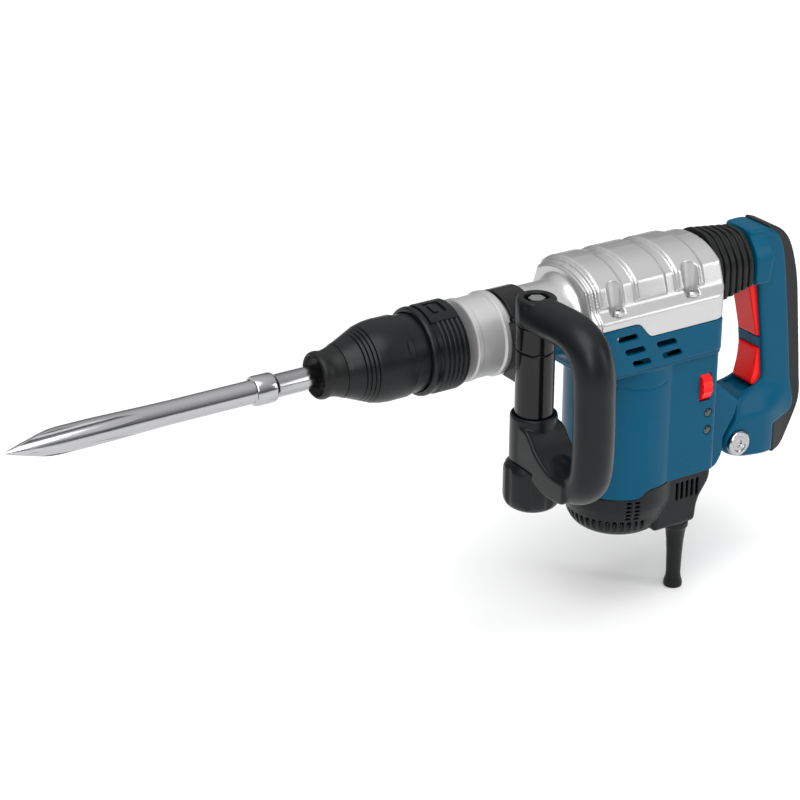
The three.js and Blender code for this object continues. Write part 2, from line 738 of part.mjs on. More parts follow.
function cableSleeve() {
  return turned('z', [
    [SLEEVE_BOTTOM_Z, 4.2], [SLEEVE_BOTTOM_Z, 7.4], [-263, 8], [-259, 7.2], [-256, 6.2],
    [-235, 6.6], [-215, 8.2], [-210, 8.8], [-208, 10.4], [-203.3, 10.4], [-203.3, 4.7],
    [-193.5, 4.7], [-193.5, 4.2],
  ], [SLEEVE_X, SLEEVE_Y, 0], 16);
}

function controlModule() {
  const shape = outline([[215.5, -140], [225.6, -140], [225.6, -92], [215.5, -92]]);
  return prism('y', shape, -14, 14, 1);
}

// ---- auxiliary handle ----------------------------------------------------------------

function clampBand() {
  const band = tube('x', SEAT_BORE, 33.6, 43, 66);
  const ear = rod('z', POST_RADIUS, -57, 24.6, [POST_X, POST_Y, 0], 20);
  const bridge = box([37, 63], [-48, -18], [-27, 19]);
  const body = join(band, ear, bridge);
  const neck = rod('x', SEAT_BORE, 20, 90, [0, 0, 0], SEGMENTS);
  const collar = rod('x', 34.6, 20, 42, [0, 0, 0], SEGMENTS);
  const bolt = rod('z', 4.4, -70, 40, [POST_X, POST_Y, 0]);
  const split = outline(splitLine());
  return cut(body, neck, collar, bolt, prism('y', split, -80, -25));
}

// Toothed gap between the upper and the lower ear of the clamp.
function splitLine() {
  const low = [];
  const high = [];
  for (let i = 0; i <= 8; i += 1) {
    const x = 26 + i * 5;
    const z = i % 2 ? 4.4 : 2.8;
    low.push([x, z]);
    high.unshift([x, z + 1.1]);
  }
  return [...low, ...high];
}

function handleBolt() {
  return join(
    rod('z', 4, -120, 36, [POST_X, POST_Y, 0]),
    turned('z', [[36, 0], [36, 9], [40, 9], [40, 0]], [POST_X, POST_Y, 0], 20),
  );
}

function handleNut() {
  return rod('z', 6.6, 40.4, 46, [POST_X, POST_Y, 0], 6);
}

function auxHandle() {
  const path = new THREE.CatmullRomCurve3([
    [POST_X, POST_Y, 33], [POST_X, -80, 35.5], [POST_X, -104, 36], [POST_X, -120, 29],
    [POST_X, -128, 12], [POST_X, GRIP_Y, -10], [POST_X, GRIP_Y - 1, -40],
    [POST_X, GRIP_Y, -70], [POST_X, -127, -84],
  ].map((point) => new THREE.Vector3(...point)));
  const loop = bar(path, GRIP_RADIUS, 15, 6);
  const head = turned('z', [
    [25, 0], [25, 15.6], [44.5, 16], [47, 14.5], [47, 0],
  ], [POST_X, POST_Y, 0], 20);
  const cuff = turned('z', [
    [-87, 0], [-87, 18.6], [-50, 18.6], [-48.5, 17.4], [-48.5, 0],
  ], [POST_X, POST_Y, 0], 20);
  const arm = outline([
    [POST_Y, -52], [-66, -60, 5], [-80, -78, 6], [-98, -80, 8], [-116, -64],
    [-142, -76, 7], [-138, -92, 6], [-126, -98, 5], [-96, -97, 5], [-79, -87], [POST_Y, -87],
  ]);
  const lowerArm = prism('x', arm, POST_X - 16.5, POST_X + 16.5, 2, 3);
  const recess = rod('z', 9.4, 35.4, 60, [POST_X, POST_Y, 0]);
  const bolt = rod('z', 4.4, -100, 40, [POST_X, POST_Y, 0]);
  const post = rod('z', POST_RADIUS + 0.4, -57.6, 24.9, [POST_X, POST_Y, 0], 20);
  return cut(join(loop, head, cuff, lowerArm), recess, bolt, post);
}

function clampKnob() {
  const body = turned('z', [
    [-128, 0], [-128, 17], [-124, 21.5], [-118, KNOB_RADIUS], [-96, KNOB_RADIUS],
    [-91, 21], [-87.6, 17], [-87.6, 0],
  ], [POST_X, POST_Y, 0], 20);
  const grooves = around(8).map((angle) => {
    const centre = [POST_X + 26.4 * Math.cos(angle), POST_Y + 26.4 * Math.sin(angle), 0];
    return rod('z', 5.2, -140, -80, centre, 8);
  });
  const thread = rod('z', 4.3, -121, -80, [POST_X, POST_Y, 0]);
  return cut(body, thread, ...grooves);
}

// ---- rear handle ---------------------------------------------------------------------

function bellows() {
  const folds = [];
  const pitch = 10.6;
  for (let i = 0; i < 4; i += 1) {
    const from = 240.6 + i * pitch;
    const taper = (i - 3) * 1.5;
    const to = Math.min(from + pitch + 0.4, 283.4);
    folds.push(prism('x', archSection(taper), from, from + 6.4, 0, 1));
    folds.push(prism('x', archSection(taper + 3), from + 6, to, 0, 1));
  }
  return cut(join(...folds), prism('x', archSection(6), 230, 300, 0, 1));
}

// Arched cross-section shared by the bellows and the top plate of the handle.
function archSection(inset) {
  const top = 40 - inset;
  const wide = FLARE_HALF_WIDTH - inset;
  return outline([[-wide, -5 + inset, 5], [wide, -5 + inset, 5], [wide - 0.5, 21 - inset, 7],
    [13, top, 7], [-13, top, 7], [-wide + 0.5, 21 - inset, 7]]);
}

function damperSpring() {
  return bar(new Helix([0, 18], 7, 242.2, 281, 5), 1.1, 40, 2);
}

// Side outline of the blue handle loop.
function handleOutline() {
  return outline([
    [HANDLE_FRONT_X, 40, 4], [303, 40.5, 8], [315, 33, 8], [322, 20, 10], [326.3, -3, 10],
    [333.4, -58, 14], [339.5, -110, 8], [343, -126, 6], [338, -134.6, 5], [316, -137.6],
    [316.4, -163], [297, -161.5, 5], [276, -158.5, 8], [262, -151, 8], [261, -137, 8],
    [271, -124, 5], [278, -108, 5], [298, -103, 6], [308, -97, 6], [303.5, -57],
    [296, -5, 5], [HANDLE_FRONT_X, -5],
  ]);
}

function handleBody() {
  const loop = prism('y', handleOutline(), -GRIP_HALF_WIDTH, GRIP_HALF_WIDTH, 1.7);
  const plate = prism('x', archSection(0), HANDLE_FRONT_X, 303).intersect(
    prism('y', outline([[200, 60], [292, 60], [303, 25, 6], [297, -6], [200, -20]]), -60, 60));
  const flare = outline([
    [306, -163], [297, -161.5, 5], [276, -158.5, 8], [262, -151, 8], [261, -137, 8],
    [271, -124, 5], [278, -108, 5], [298, -103, 6], [312, -118, 5],
  ]);
  return join(loop, plate, prism('y', flare, -FLARE_HALF_WIDTH, FLARE_HALF_WIDTH, 2));
}

function handleShells() {
  const inside = outline([
    [305, 20, 4], [311, 20, 5], [319, 0, 6], [327, -58], [332, -104, 4], [314, -112, 4],
    [308, -60],
  ]);
  const triggerMouth = outline([[280, -2.6], [307.5, -2.6], [309.5, -60], [280, -60]]);
  const buttonMouth = outline([[288, -69], [316, -69], [317, -106.5], [288, -106.5]]);
  const tongueSlot = outline([[240, -126], [276, -126, 6], [291, -143, 10], [276, -164],
    [240, -164]]);
  const mouth = TRIGGER_HALF_WIDTH + 0.6;
  const body = cut(
    handleBody(),
    prism('y', inside, -12.5, 12.5),
    prism('x', archSection(5), HANDLE_FRONT_X - 2, 297),
    prism('y', triggerMouth, -mouth, mouth),
    prism('y', buttonMouth, -mouth, mouth),
    prism('y', tongueSlot, -7.6, 7.6),
    rod('y', 4.4, -40, 40, [PIVOT_X, 0, PIVOT_Z]),
  );
  return {
    left: body.intersect(box([200, 400], [-60, -0.1], [-200, 80])),
    right: body.intersect(box([200, 400], [0.1, 60], [-200, 80])),
  };
}

// Soft strip along the back of the handle, with a larger pad on the lower corner.
function softGrip() {
  const shape = outline([
    [303, 41.6, 3], [316, 37.5, 10], [327, 27, 12], [334, 10, 12], [339.5, -12, 14],
    [344.5, -58, 20], [350, -112, 16], [348.5, -128, 12], [341, -145, 10], [330, -163, 8],
    [317, -165.5], [316, -137.6], [330, -120], [325, -58], [318, -3], [310, 20],
  ]);
  return cut(prism('y', shape, -15.2, 15.2), handleBody());
}

function trigger() {
  const [px, pz] = TRIGGER_PIVOT;
  const shape = outline([
    [288.5, -5.6, 3], [305, -5.6], [307, -58.5, 2], [301.5, -58.5, 2], [295.5, -33],
  ]);
  const body = prism('y', shape, -TRIGGER_HALF_WIDTH, TRIGGER_HALF_WIDTH, 0.8);
  return cut(body, rod('y', 1.6, -20, 20, [px, 0, pz], 10));
}

function lockButton() {
  const [px, pz] = BUTTON_PIVOT;
  const shape = outline([
    [302.5, -69.8, 2], [309.5, -69.8], [311, -101, 2], [304, -104.5, 3], [297.5, -101, 3],
    [301.5, -86, 4],
  ]);
  const body = prism('y', shape, -TRIGGER_HALF_WIDTH, TRIGGER_HALF_WIDTH, 0.8);
  return cut(body, rod('y', 1.6, -20, 20, [px, 0, pz], 10));
}

function switchBlock() {
  const shape = outline([[312.8, -20], [318, -20], [324, -66], [313.5, -66]]);
  return prism('y', shape, -10, 10);
}

function pivotBolt() {
  return rod('y', 4, -28, 28, [PIVOT_X, 0, PIVOT_Z]);
}

function pivotCap(side) {
  const profile = [
    [28.4, 0], [28.4, 11.2], [30.6, 11.2], [32, 9.6], [32, 7], [31, 6], [31, 3.2],
    [29.6, 3.2], [29.6, 0],
  ];
  return turned('y', profile.map(([y, r]) => [side * y, r]), [PIVOT_X, 0, PIVOT_Z], 14);
}

// ---- assembly ------------------------------------------------------------------------

node('chisel', BRIGHT_STEEL, chisel());
node('tool_holder', STEEL, toolHolder());
node('dust_cap', BLACK_RUBBER, dustCap());
node('locking_sleeve', BLACK_PLASTIC, lockingSleeve());
node('sleeve_spring', STEEL, sleeveSpring());
node('lock_roller_top', STEEL, lockRoller(1));
node('lock_roller_bottom', STEEL, lockRoller(-1));
node('adjuster_ring', BLACK_PLASTIC, adjusterRing());
node('neck_collar', ALUMINIUM, neckCollar());

node('cylinder', STEEL, cylinder());
node('beat_piece', STEEL, beatPiece());
node('striker', STEEL, striker());
node('piston', ALUMINIUM, piston());
node('wrist_pin', STEEL, wristPin());
node('conrod', DARK_STEEL, conrod());
node('crank_gear', DARK_STEEL, crankGear());
node('crank_bearing', STEEL, bearing(CRANK_X, 8.3, 15, -34, -26));

node('armature_shaft', STEEL, armatureShaft());
node('armature_core', DARK_STEEL, armatureCore());
node('commutator', COPPER, commutator());
node('motor_fan', BLACK_PLASTIC, motorFan());
node('upper_bearing', STEEL, bearing(MOTOR_X, 5.8, 13, -36, -28));
node('lower_bearing', STEEL, bearing(MOTOR_X, 4.3, 13, -173.5, -166.5));
node('stator_core', DARK_STEEL, statorCore());
node('field_winding_front', COPPER, fieldWinding(-1));
node('field_winding_rear', COPPER, fieldWinding(1));
node('brush_holder_left', BRASS, brushHolder(-1));
node('brush_holder_right', BRASS, brushHolder(1));
node('carbon_brush_left', CARBON, carbonBrush(-1));
node('carbon_brush_right', CARBON, carbonBrush(1));

node('gear_housing', SILVER_PAINT, gearHousing());
node('motor_housing', BLUE_PLASTIC, motorHousing());
node('end_cap', BLACK_PLASTIC, endCap());
node('cable_sleeve', BLACK_RUBBER, cableSleeve());
node('control_module', GREEN_BOARD, controlModule());
node('speed_wheel', RED_PLASTIC, speedWheel());
lightPlaces().forEach((place, i) => {
  node(`indicator_light_${i + 1}`, LENS, indicatorLight(place));
});
screwPlaces().forEach((place, i) => {
  node(`housing_screw_${i + 1}`, STEEL, housingScrew(place));
});

node('clamp_band', GLOSS_BLACK, clampBand());
node('handle_bolt', STEEL, handleBolt());
node('handle_nut', STEEL, handleNut());
node('aux_handle', BLACK_PLASTIC, auxHandle());
node('clamp_knob', BLACK_PLASTIC, clampKnob());

const shells = handleShells();
node('handle_shell_left', BLUE_PLASTIC, shells.left);
node('handle_shell_right', BLUE_PLASTIC, shells.right);
node('soft_grip', GREY_RUBBER, softGrip());
node('trigger', RED_PLASTIC, trigger());
node('lock_button', RED_PLASTIC, lockButton());
node('switch_block', CREAM_PLASTIC, switchBlock());
node('bellows', BLACK_RUBBER, bellows());
node('damper_spring', STEEL, damperSpring());
node('pivot_bolt', STEEL, pivotBolt());
node('pivot_cap_left', BRIGHT_STEEL, pivotCap(-1));
node('pivot_cap_right', BRIGHT_STEEL, pivotCap(1));

const bounds = new THREE.Box3().setFromObject(group);
const base = bounds.getCenter(new THREE.Vector3()).setZ(bounds.min.z);
group.children.forEach((item) => item.geometry.translate(-base.x, -base.y, -base.z));

export default group;
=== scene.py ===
"""Demolition hammer: finer shapes, materials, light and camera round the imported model."""

import json
import math

import bpy
from mathutils import Matrix, Vector


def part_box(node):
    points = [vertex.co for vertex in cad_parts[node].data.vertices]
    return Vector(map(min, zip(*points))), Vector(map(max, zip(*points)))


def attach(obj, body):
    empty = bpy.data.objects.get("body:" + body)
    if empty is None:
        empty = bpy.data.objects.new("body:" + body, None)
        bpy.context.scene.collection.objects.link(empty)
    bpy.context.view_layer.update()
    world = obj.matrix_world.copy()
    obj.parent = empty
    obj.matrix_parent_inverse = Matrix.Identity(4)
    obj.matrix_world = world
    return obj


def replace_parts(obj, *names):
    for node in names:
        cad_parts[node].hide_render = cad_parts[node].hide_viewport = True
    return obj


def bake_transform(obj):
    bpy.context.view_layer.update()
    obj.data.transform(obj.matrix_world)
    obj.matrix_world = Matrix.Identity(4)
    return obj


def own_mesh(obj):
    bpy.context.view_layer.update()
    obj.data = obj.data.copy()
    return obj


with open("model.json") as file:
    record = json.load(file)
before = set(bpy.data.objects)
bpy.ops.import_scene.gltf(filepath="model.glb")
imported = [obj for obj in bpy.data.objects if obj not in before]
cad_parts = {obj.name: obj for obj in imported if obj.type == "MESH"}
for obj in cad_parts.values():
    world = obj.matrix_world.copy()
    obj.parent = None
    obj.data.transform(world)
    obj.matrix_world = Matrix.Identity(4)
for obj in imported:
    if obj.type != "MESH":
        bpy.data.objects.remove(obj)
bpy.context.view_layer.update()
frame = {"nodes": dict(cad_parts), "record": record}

MM = 0.001

# The tool axis runs along X through the middle of the tool holder. Shapes are drawn in
# millimetres about it, with x = 0 at the rear face of the adjuster ring.
holder_low, holder_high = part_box("tool_holder")
AXIS = (holder_low + holder_high) / 2
AXIS.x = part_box("adjuster_ring")[1].x


def low(node):
    """Lowest corner of a CAD node, in millimetres about the tool axis."""
    return (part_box(node)[0] - AXIS) / MM


def high(node):
    """Highest corner of a CAD node, in millimetres about the tool axis."""
    return (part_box(node)[1] - AXIS) / MM


def middle(node):
    """Centre of a CAD node, in millimetres about the tool axis."""
    return (low(node) + high(node)) / 2


# ---- driving places, in millimetres about the tool axis -------------------------------

HOLDER_RADIUS = high("tool_holder").z
PIVOT = middle("pivot_bolt")         # hinge of the rear handle
POST = middle("handle_bolt")         # post of the auxiliary handle
MOTOR = middle("armature_shaft")
CRANK = middle("crank_gear")
WHEEL = middle("speed_wheel")
CABLE = middle("cable_sleeve")
SCREWS = [middle(f"housing_screw_{i}") for i in (1, 2, 3, 4)]
HALF_WIDTH = high("motor_housing").y
HOUSING_REAR = high("gear_housing").x
CAP_BOTTOM = low("armature_shaft").z - 23

MOTOR_AXIS = (MOTOR.x, 0, 0)         # a point on each upright or crosswise axis
CRANK_AXIS = (CRANK.x, 0, 0)
POST_AXIS = (POST.x, POST.y, 0)
CABLE_AXIS = (CABLE.x, CABLE.y, 0)
PIVOT_AXIS = (PIVOT.x, 0, PIVOT.z)

# ---- driving sizes -------------------------------------------------------------------

SHANK_RADIUS = 9
CHISEL_COLLAR_RADIUS = 11.5
FLUTES = 4
FLUTE_LENGTH = 130
FLUTE_RADIUS = 5.5
FLUTE_SLOPE = 0.06                   # how fast the flutes run out towards the shank
FLUTE_END = -262

SLEEVE_RIBS = 4
SLEEVE_PANELS = 3
RING_RIBS = 5
LATCH_TURN = math.radians(8)         # how far the window of the adjuster ring is turned

HOUSING_RADIUS = 43.5                # top of the gear housing
CAN_RADIUS = 47                      # round of the motor housing
BOX_HALF_WIDTH = 43.5                # square rear of the motor housing
NECK_RADIUS = 29.3
CORE_RADIUS = 24                     # seat of the cylinder inside the neck
CYLINDER_BORE = 16.3                 # bore of the gear housing that holds the cylinder
BEARING_SEAT = 13.4
WALL = 4.5
JOIN_GAP = 0.3                       # play between neighbouring pieces
PART_FRONT = 0.5                     # height of the joint between the two housings in front
PART_REAR = -13                      # and at the rear
CAP_LINE_FRONT = -158                # height of the joint above the end cap in front
CAP_LINE_REAR = -151                 # and at the rear
SEAM_TOP = -39.6
SEAM_BOTTOM = -41.4
BELTS = ((113, 139), (149, 181), (189, 218))
BELT_HEIGHT = 2.3
# start, end and height of each cooling slot
VENTS = ((126, 145, -9.5), (134, 153, -22), (142, 159, -33.4), (165, 184, -22), (171, 190, -32.6))
CAP_SLITS = 22

BOLT_HOLE = 4.4                      # hole a bolt passes with play
TIGHT_HOLE = 4.3                     # hole a bolt sits in
GRIP_RADIUS = 14.7
GRIP_Y = -129                        # outer run of the auxiliary handle
WEB_HALF_WIDTH = 18
KNOB_GROOVES = 8
KNOB_GROOVE_CIRCLE = 26.4

HANDLE_FRONT = 284
GRIP_HALF_WIDTH = 17
FLARE_HALF_WIDTH = 28                # half width of the rear handle round its hinge
TRIGGER_HALF_WIDTH = 12.5
MOUTH_HALF_WIDTH = TRIGGER_HALF_WIDTH + 0.5
BELLOWS_FOLDS = 6


# ---- solid helpers -------------------------------------------------------------------


def new_object(name, vertices, faces):
    """Mesh object from corners given in millimetres about the tool axis."""
    mesh = bpy.data.meshes.new(name)
    mesh.from_pydata([AXIS + Vector(v) * MM for v in vertices], [], faces)
    mesh.update()
    obj = bpy.data.objects.new(name, mesh)
    bpy.context.scene.collection.objects.link(obj)
    return obj


def turned(axis, profile, centre=(0, 0, 0), segments=96):
    """Turned solid. The profile lists (distance along the axis, radius)."""
    along = "xyz".index(axis)
    first, second = (along + 1) % 3, (along + 2) % 3
    open_ends = profile[0][1] > 0
    vertices, rings = [], []
    for distance, radius in profile:
        ring = []
        for step in range(segments if radius > 0 else 1):
            angle = 2 * math.pi * step / segments
            point = list(centre)
            point[along] += distance
            point[first] += radius * math.cos(angle)
            point[second] += radius * math.sin(angle)
            ring.append(len(vertices))
            vertices.append(point)
        rings.append(ring)
    pairs = list(zip(rings, rings[1:]))
    if open_ends:
        pairs.append((rings[-1], rings[0]))
    faces = []
    for a, b in pairs:
        for step in range(segments):
            after = (step + 1) % segments
            corners = [a[step % len(a)], a[after % len(a)], b[after % len(b)], b[step % len(b)]]
            faces.append(list(dict.fromkeys(corners)))
    return outward(new_object("turned", vertices, [face for face in faces if len(face) > 2]))


def rod(axis, radius, start, end, centre=(0, 0, 0), segments=64):
    """Straight round bar between two coordinates."""
    return turned(axis, [(start, 0), (start, radius), (end, radius), (end, 0)], centre, segments)


def outward(obj):
    """Turn the faces of a closed mesh outwards."""
    mesh = obj.data
    volume = 0.0
    mesh.calc_loop_triangles()
    for triangle in mesh.loop_triangles:
        a, b, c = (mesh.vertices[i].co - AXIS for i in triangle.vertices)
        volume += a.dot(b.cross(c))
    if volume < 0:
        mesh.flip_normals()
    return obj


def rounded(points, steps=6):
    """Outline through (a, b, corner radius) points, with each corner an even curve."""
    result = []
    count = len(points)
    for i, point in enumerate(points):
        corner = Vector(point[:2])
        radius = point[2] if len(point) > 2 else 0
        if radius == 0:
            result.append(corner)
            continue
        before = Vector(points[i - 1][:2]) - corner
        after = Vector(points[(i + 1) % count][:2]) - corner
        start = corner + before * min(radius / before.length, 0.48)
        end = corner + after * min(radius / after.length, 0.48)
        for step in range(steps + 1):
            t = step / steps
            result.append(start * (1 - t) ** 2 + corner * 2 * t * (1 - t) + end * t * t)
    return result


PLANES = {"x": (1, 2, 0), "y": (0, 2, 1), "z": (0, 1, 2)}


def prism(axis, shape, start, end):
    """Straight solid: an outline swept along an axis between two coordinates."""
    a_axis, b_axis, along = PLANES[axis]
    count = len(shape)
    vertices = []
    for distance in (start, end):
        for a, b in shape:
            point = [0, 0, 0]
            point[a_axis] = a
            point[b_axis] = b
            point[along] = distance
            vertices.append(point)
    faces = [list(range(count)), list(range(2 * count - 1, count - 1, -1))]
    for i in range(count):
        after = (i + 1) % count
        faces.append([i, i + count, after + count, after])
    return outward(new_object("prism", vertices, faces))


def block(x, y, z):
    """Box between the two coordinates given for each axis."""
    return prism("z", [(x[0], y[0]), (x[1], y[0]), (x[1], y[1]), (x[0], y[1])], *z)


def sweep(path, radius, sides=32):
    """Round bar along a smooth list of points."""
    points = [Vector(p) for p in path]
    vertices, faces = [], []
    side = Vector((1, 0, 0))
    for i, point in enumerate(points):
        tangent = (points[min(i + 1, len(points) - 1)] - points[max(i - 1, 0)]).normalized()
        side = (side - tangent * side.dot(tangent)).normalized()
        other = tangent.cross(side)
        for step in range(sides):
            angle = 2 * math.pi * step / sides
            vertices.append(point + (side * math.cos(angle) + other * math.sin(angle)) * radius)
    for i in range(len(points) - 1):
        for step in range(sides):
            after = (step + 1) % sides
            row, following = i * sides, (i + 1) * sides
            faces.append([row + step, row + after, following + after, following + step])
    faces.append(list(reversed(range(sides))))
    faces.append(list(range(len(vertices) - sides, len(vertices))))
    return outward(new_object("sweep", vertices, faces))


def spline(points, steps=10):
    """Catmull-Rom curve through the points."""
    knots = [Vector(p) for p in points]
    knots = [2 * knots[0] - knots[1], *knots, 2 * knots[-1] - knots[-2]]
    path = []
    for a, b, c, d in zip(knots, knots[1:], knots[2:], knots[3:]):
        for step in range(steps):
            t = step / steps
            path.append(
                0.5 * (2 * b + (c - a) * t + (2 * a - 5 * b + 4 * c - d) * t * t
                       + (3 * b - a - 3 * c + d) * t ** 3)
            )
    path.append(knots[-2])
    return path


def turn(obj, axis, angle, centre):
    """Turn a solid about an axis through a point given in millimetres."""
    pivot = AXIS + Vector(centre) * MM
    matrix = Matrix.Translation(pivot) @ Matrix.Rotation(angle, 4, axis.upper())
    obj.data.transform(matrix @ Matrix.Translation(-pivot))
    return obj


def bake(obj):
    """Replace an object's mesh by the result of its modifiers."""
    graph = bpy.context.evaluated_depsgraph_get()
    mesh = bpy.data.meshes.new_from_object(obj.evaluated_get(graph))
    obj.modifiers.clear()
    old = obj.data
    obj.data = mesh
    bpy.data.meshes.remove(old)
    return obj


def combine(operation, body, tools):
    """Boolean of a body with each of the tools, which are used up."""
    for tool in tools:
        modifier = body.modifiers.new("combine", "BOOLEAN")
        modifier.operation = operation
        modifier.solver = "MANIFOLD"
        modifier.object = tool
    bake(body)
    for tool in tools:
        bpy.data.objects.remove(tool)
    return body


def join(body, *tools):
    return combine("UNION", body, tools)


def cut(body, *tools):
    return combine("DIFFERENCE", body, tools)


def keep(body, *tools):
    return combine("INTERSECT", body, tools)


def around(count, start=0.0):
    """Evenly spaced angles of a full turn."""
    return [start + 2 * math.pi * i / count for i in range(count)]


def on_side(side, near, far):
    """Range across the tool between two distances, on the side given as 1 or -1."""
    return sorted((side * near, side * far))


def mirrored(points):
    """The points and their mirror images, as one outline."""
    return [*points, *[(-p[0], *p[1:]) for p in reversed(points)]]


def soften(obj, voxel=0.9, passes=4, decimate=0.35):
    """Round every edge as moulding does: an even fine mesh, relaxed a few times."""
    remesh = obj.modifiers.new("even", "REMESH")
    remesh.mode = "VOXEL"
    remesh.voxel_size = voxel * MM
    relax = obj.modifiers.new("relax", "SMOOTH")
    relax.factor = 0.5
    relax.iterations = passes
    if decimate < 1:
        thin = obj.modifiers.new("thin", "DECIMATE")
        thin.ratio = decimate
    return bake(obj)


def chamfer(obj, width, segments=3):
    """Round the sharp edges of a straight solid before it is joined to others."""
    bevel = obj.modifiers.new("chamfer", "BEVEL")
    bevel.width = width * MM
    bevel.segments = segments
    bevel.limit_method = "ANGLE"
    bevel.angle_limit = math.radians(50)
    return bake(obj)


def ease(value, start, end):
    """0 before start, 1 after end and a smooth rise between."""
    t = min(max((value - start) / (end - start), 0), 1)
    return t * t * (3 - 2 * t)


def widen(obj, weight, factor, centre, axis=0):
    """Stretch a solid across one axis about a centre, by more where the weight is larger."""
    for vertex in obj.data.vertices:
        place_mm = (vertex.co - AXIS) / MM
        share = weight(place_mm.x, place_mm.z)
        place_mm[axis] = centre + (place_mm[axis] - centre) * (1 + (factor - 1) * share)
        vertex.co = AXIS + place_mm * MM
    return obj


def smooth(obj, degrees=32):
    """Smooth shading, with edges sharper than the angle left as edges."""
    obj.data.shade_smooth()
    obj.data.set_sharp_from_angle(angle=math.radians(degrees))
    return obj


def dress(obj, name, slot):
    """Name a finished piece and give it its slot's material."""
    obj.name = name
    obj.data.name = name
    obj.data.materials.clear()
    obj.data.materials.append(MATERIALS[slot])


def place(obj, name, body, slot, *nodes):
    """Dress a finished piece, hand it to its body and name the CAD nodes it stands for."""
    dress(obj, name, slot)
    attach(obj, body)
    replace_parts(obj, *nodes)
    return obj


# ---- materials -----------------------------------------------------------------------


GRAIN_SIZE = 0.6                     # millimetres
GRAIN_DEPTH = 0.0002                 # metres
RING_DEPTH = 0.0001
CLOUD_SCALE = 35                     # slow changes of tint and roughness
DARKER = 0.93
BRIGHTER = 1.05


def surface(name, color, roughness, metallic=0.0, grain=0.0, wear=0.06, coat=0.0, gloss=0.5):
    """Principled surface with a fine grain and a slow change of tint and roughness."""
    material = bpy.data.materials.new(name)
    material.use_nodes = True
    nodes, links = material.node_tree.nodes, material.node_tree.links
    shader = nodes["Principled BSDF"]
    shader.inputs["Metallic"].default_value = metallic
    shader.inputs["Specular IOR Level"].default_value = gloss
    shader.inputs["Coat Weight"].default_value = coat
    shader.inputs["Coat Roughness"].default_value = 0.12
    position = nodes.new("ShaderNodeTexCoord")

    cloud = nodes.new("ShaderNodeTexNoise")
    cloud.inputs["Scale"].default_value = CLOUD_SCALE
    cloud.inputs["Detail"].default_value = 6
    links.new(position.outputs["Object"], cloud.inputs["Vector"])
    spread = nodes.new("ShaderNodeMapRange")
    spread.inputs["To Min"].default_value = max(roughness - wear, 0.03)
    spread.inputs["To Max"].default_value = roughness + wear
    links.new(cloud.outputs["Fac"], spread.inputs["Value"])
    links.new(spread.outputs["Result"], shader.inputs["Roughness"])

    tint = nodes.new("ShaderNodeMix")
    tint.data_type = "RGBA"
    tint.inputs["A"].default_value = (*[c * DARKER for c in color], 1)
    tint.inputs["B"].default_value = (*[min(c * BRIGHTER, 1) for c in color], 1)
    links.new(cloud.outputs["Fac"], tint.inputs["Factor"])
    links.new(tint.outputs["Result"], shader.inputs["Base Color"])

    if grain > 0:
        fine = nodes.new("ShaderNodeTexNoise")
        fine.inputs["Scale"].default_value = 1 / (GRAIN_SIZE * MM)
        fine.inputs["Detail"].default_value = 3
        links.new(position.outputs["Object"], fine.inputs["Vector"])
        bump = nodes.new("ShaderNodeBump")
        bump.inputs["Strength"].default_value = grain
        bump.inputs["Distance"].default_value = GRAIN_DEPTH
        links.new(fine.outputs["Fac"], bump.inputs["Height"])
        links.new(bump.outputs["Normal"], shader.inputs["Normal"])
    return material


def ground_steel():
    """Polished steel with fine rings left by turning round the tool axis."""
    material = surface("polished_steel", (0.4, 0.4, 0.41), 0.17, 1.0, wear=0.05)
    nodes, links = material.node_tree.nodes, material.node_tree.links
    rings = nodes.new("ShaderNodeTexNoise")
    rings.inputs["Scale"].default_value = 900
    stretch = nodes.new("ShaderNodeMapping")
    stretch.inputs["Scale"].default_value = (1, 0.02, 0.02)
    position = nodes.new("ShaderNodeTexCoord")
    links.new(position.outputs["Object"], stretch.inputs["Vector"])
    links.new(stretch.outputs["Vector"], rings.inputs["Vector"])
    bump = nodes.new("ShaderNodeBump")
    bump.inputs["Strength"].default_value = 0.12
    bump.inputs["Distance"].default_value = RING_DEPTH
    links.new(rings.outputs["Fac"], bump.inputs["Height"])
    links.new(bump.outputs["Normal"], nodes["Principled BSDF"].inputs["Normal"])
    return material


MATERIALS = {
    "polished_steel": ground_steel(),
    "steel": surface("steel", (0.5, 0.5, 0.51), 0.28, 1.0),
    "dark_steel": surface("dark_steel", (0.28, 0.28, 0.29), 0.36, 1.0),
    "silver_paint": surface("silver_paint", (0.5, 0.5, 0.5), 0.3, 0.72, grain=0.25),
    "aluminium": surface("aluminium", (0.47, 0.47, 0.47), 0.4, 0.45, grain=0.1),
    "black_plastic": surface("black_plastic", (0.0045, 0.0055, 0.0062), 0.34, grain=0.35, gloss=0.22),
    "gloss_black": surface("gloss_black", (0.003, 0.003, 0.0035), 0.2, grain=0.08, gloss=0.3),
    "grey_rubber": surface("grey_rubber", (0.012, 0.0125, 0.0135), 0.5, grain=0.4, gloss=0.25),
    "black_rubber": surface("black_rubber", (0.004, 0.0045, 0.005), 0.42, grain=0.25, gloss=0.25),
    "blue_plastic": surface("blue_plastic", (0.0005, 0.072, 0.138), 0.3, grain=0.2, gloss=0.1),
    "red_plastic": surface("red_plastic", (0.86, 0.007, 0.006), 0.3, grain=0.1, gloss=0.2),
    "cream_plastic": surface("cream_plastic", (0.62, 0.55, 0.42), 0.5),
    "copper": surface("copper", (0.68, 0.3, 0.16), 0.32, 1.0),
    "brass": surface("brass", (0.7, 0.5, 0.22), 0.3, 1.0),
    "carbon": surface("carbon", (0.03, 0.03, 0.03), 0.6),
    "lens": surface("lens", (0.012, 0.02, 0.024), 0.12, coat=0.6),
    "board": surface("board", (0.02, 0.12, 0.06), 0.4),
}
SLOT_OF = {part["node"]: part["material_slot"] for part in frame["record"]["subparts"]}


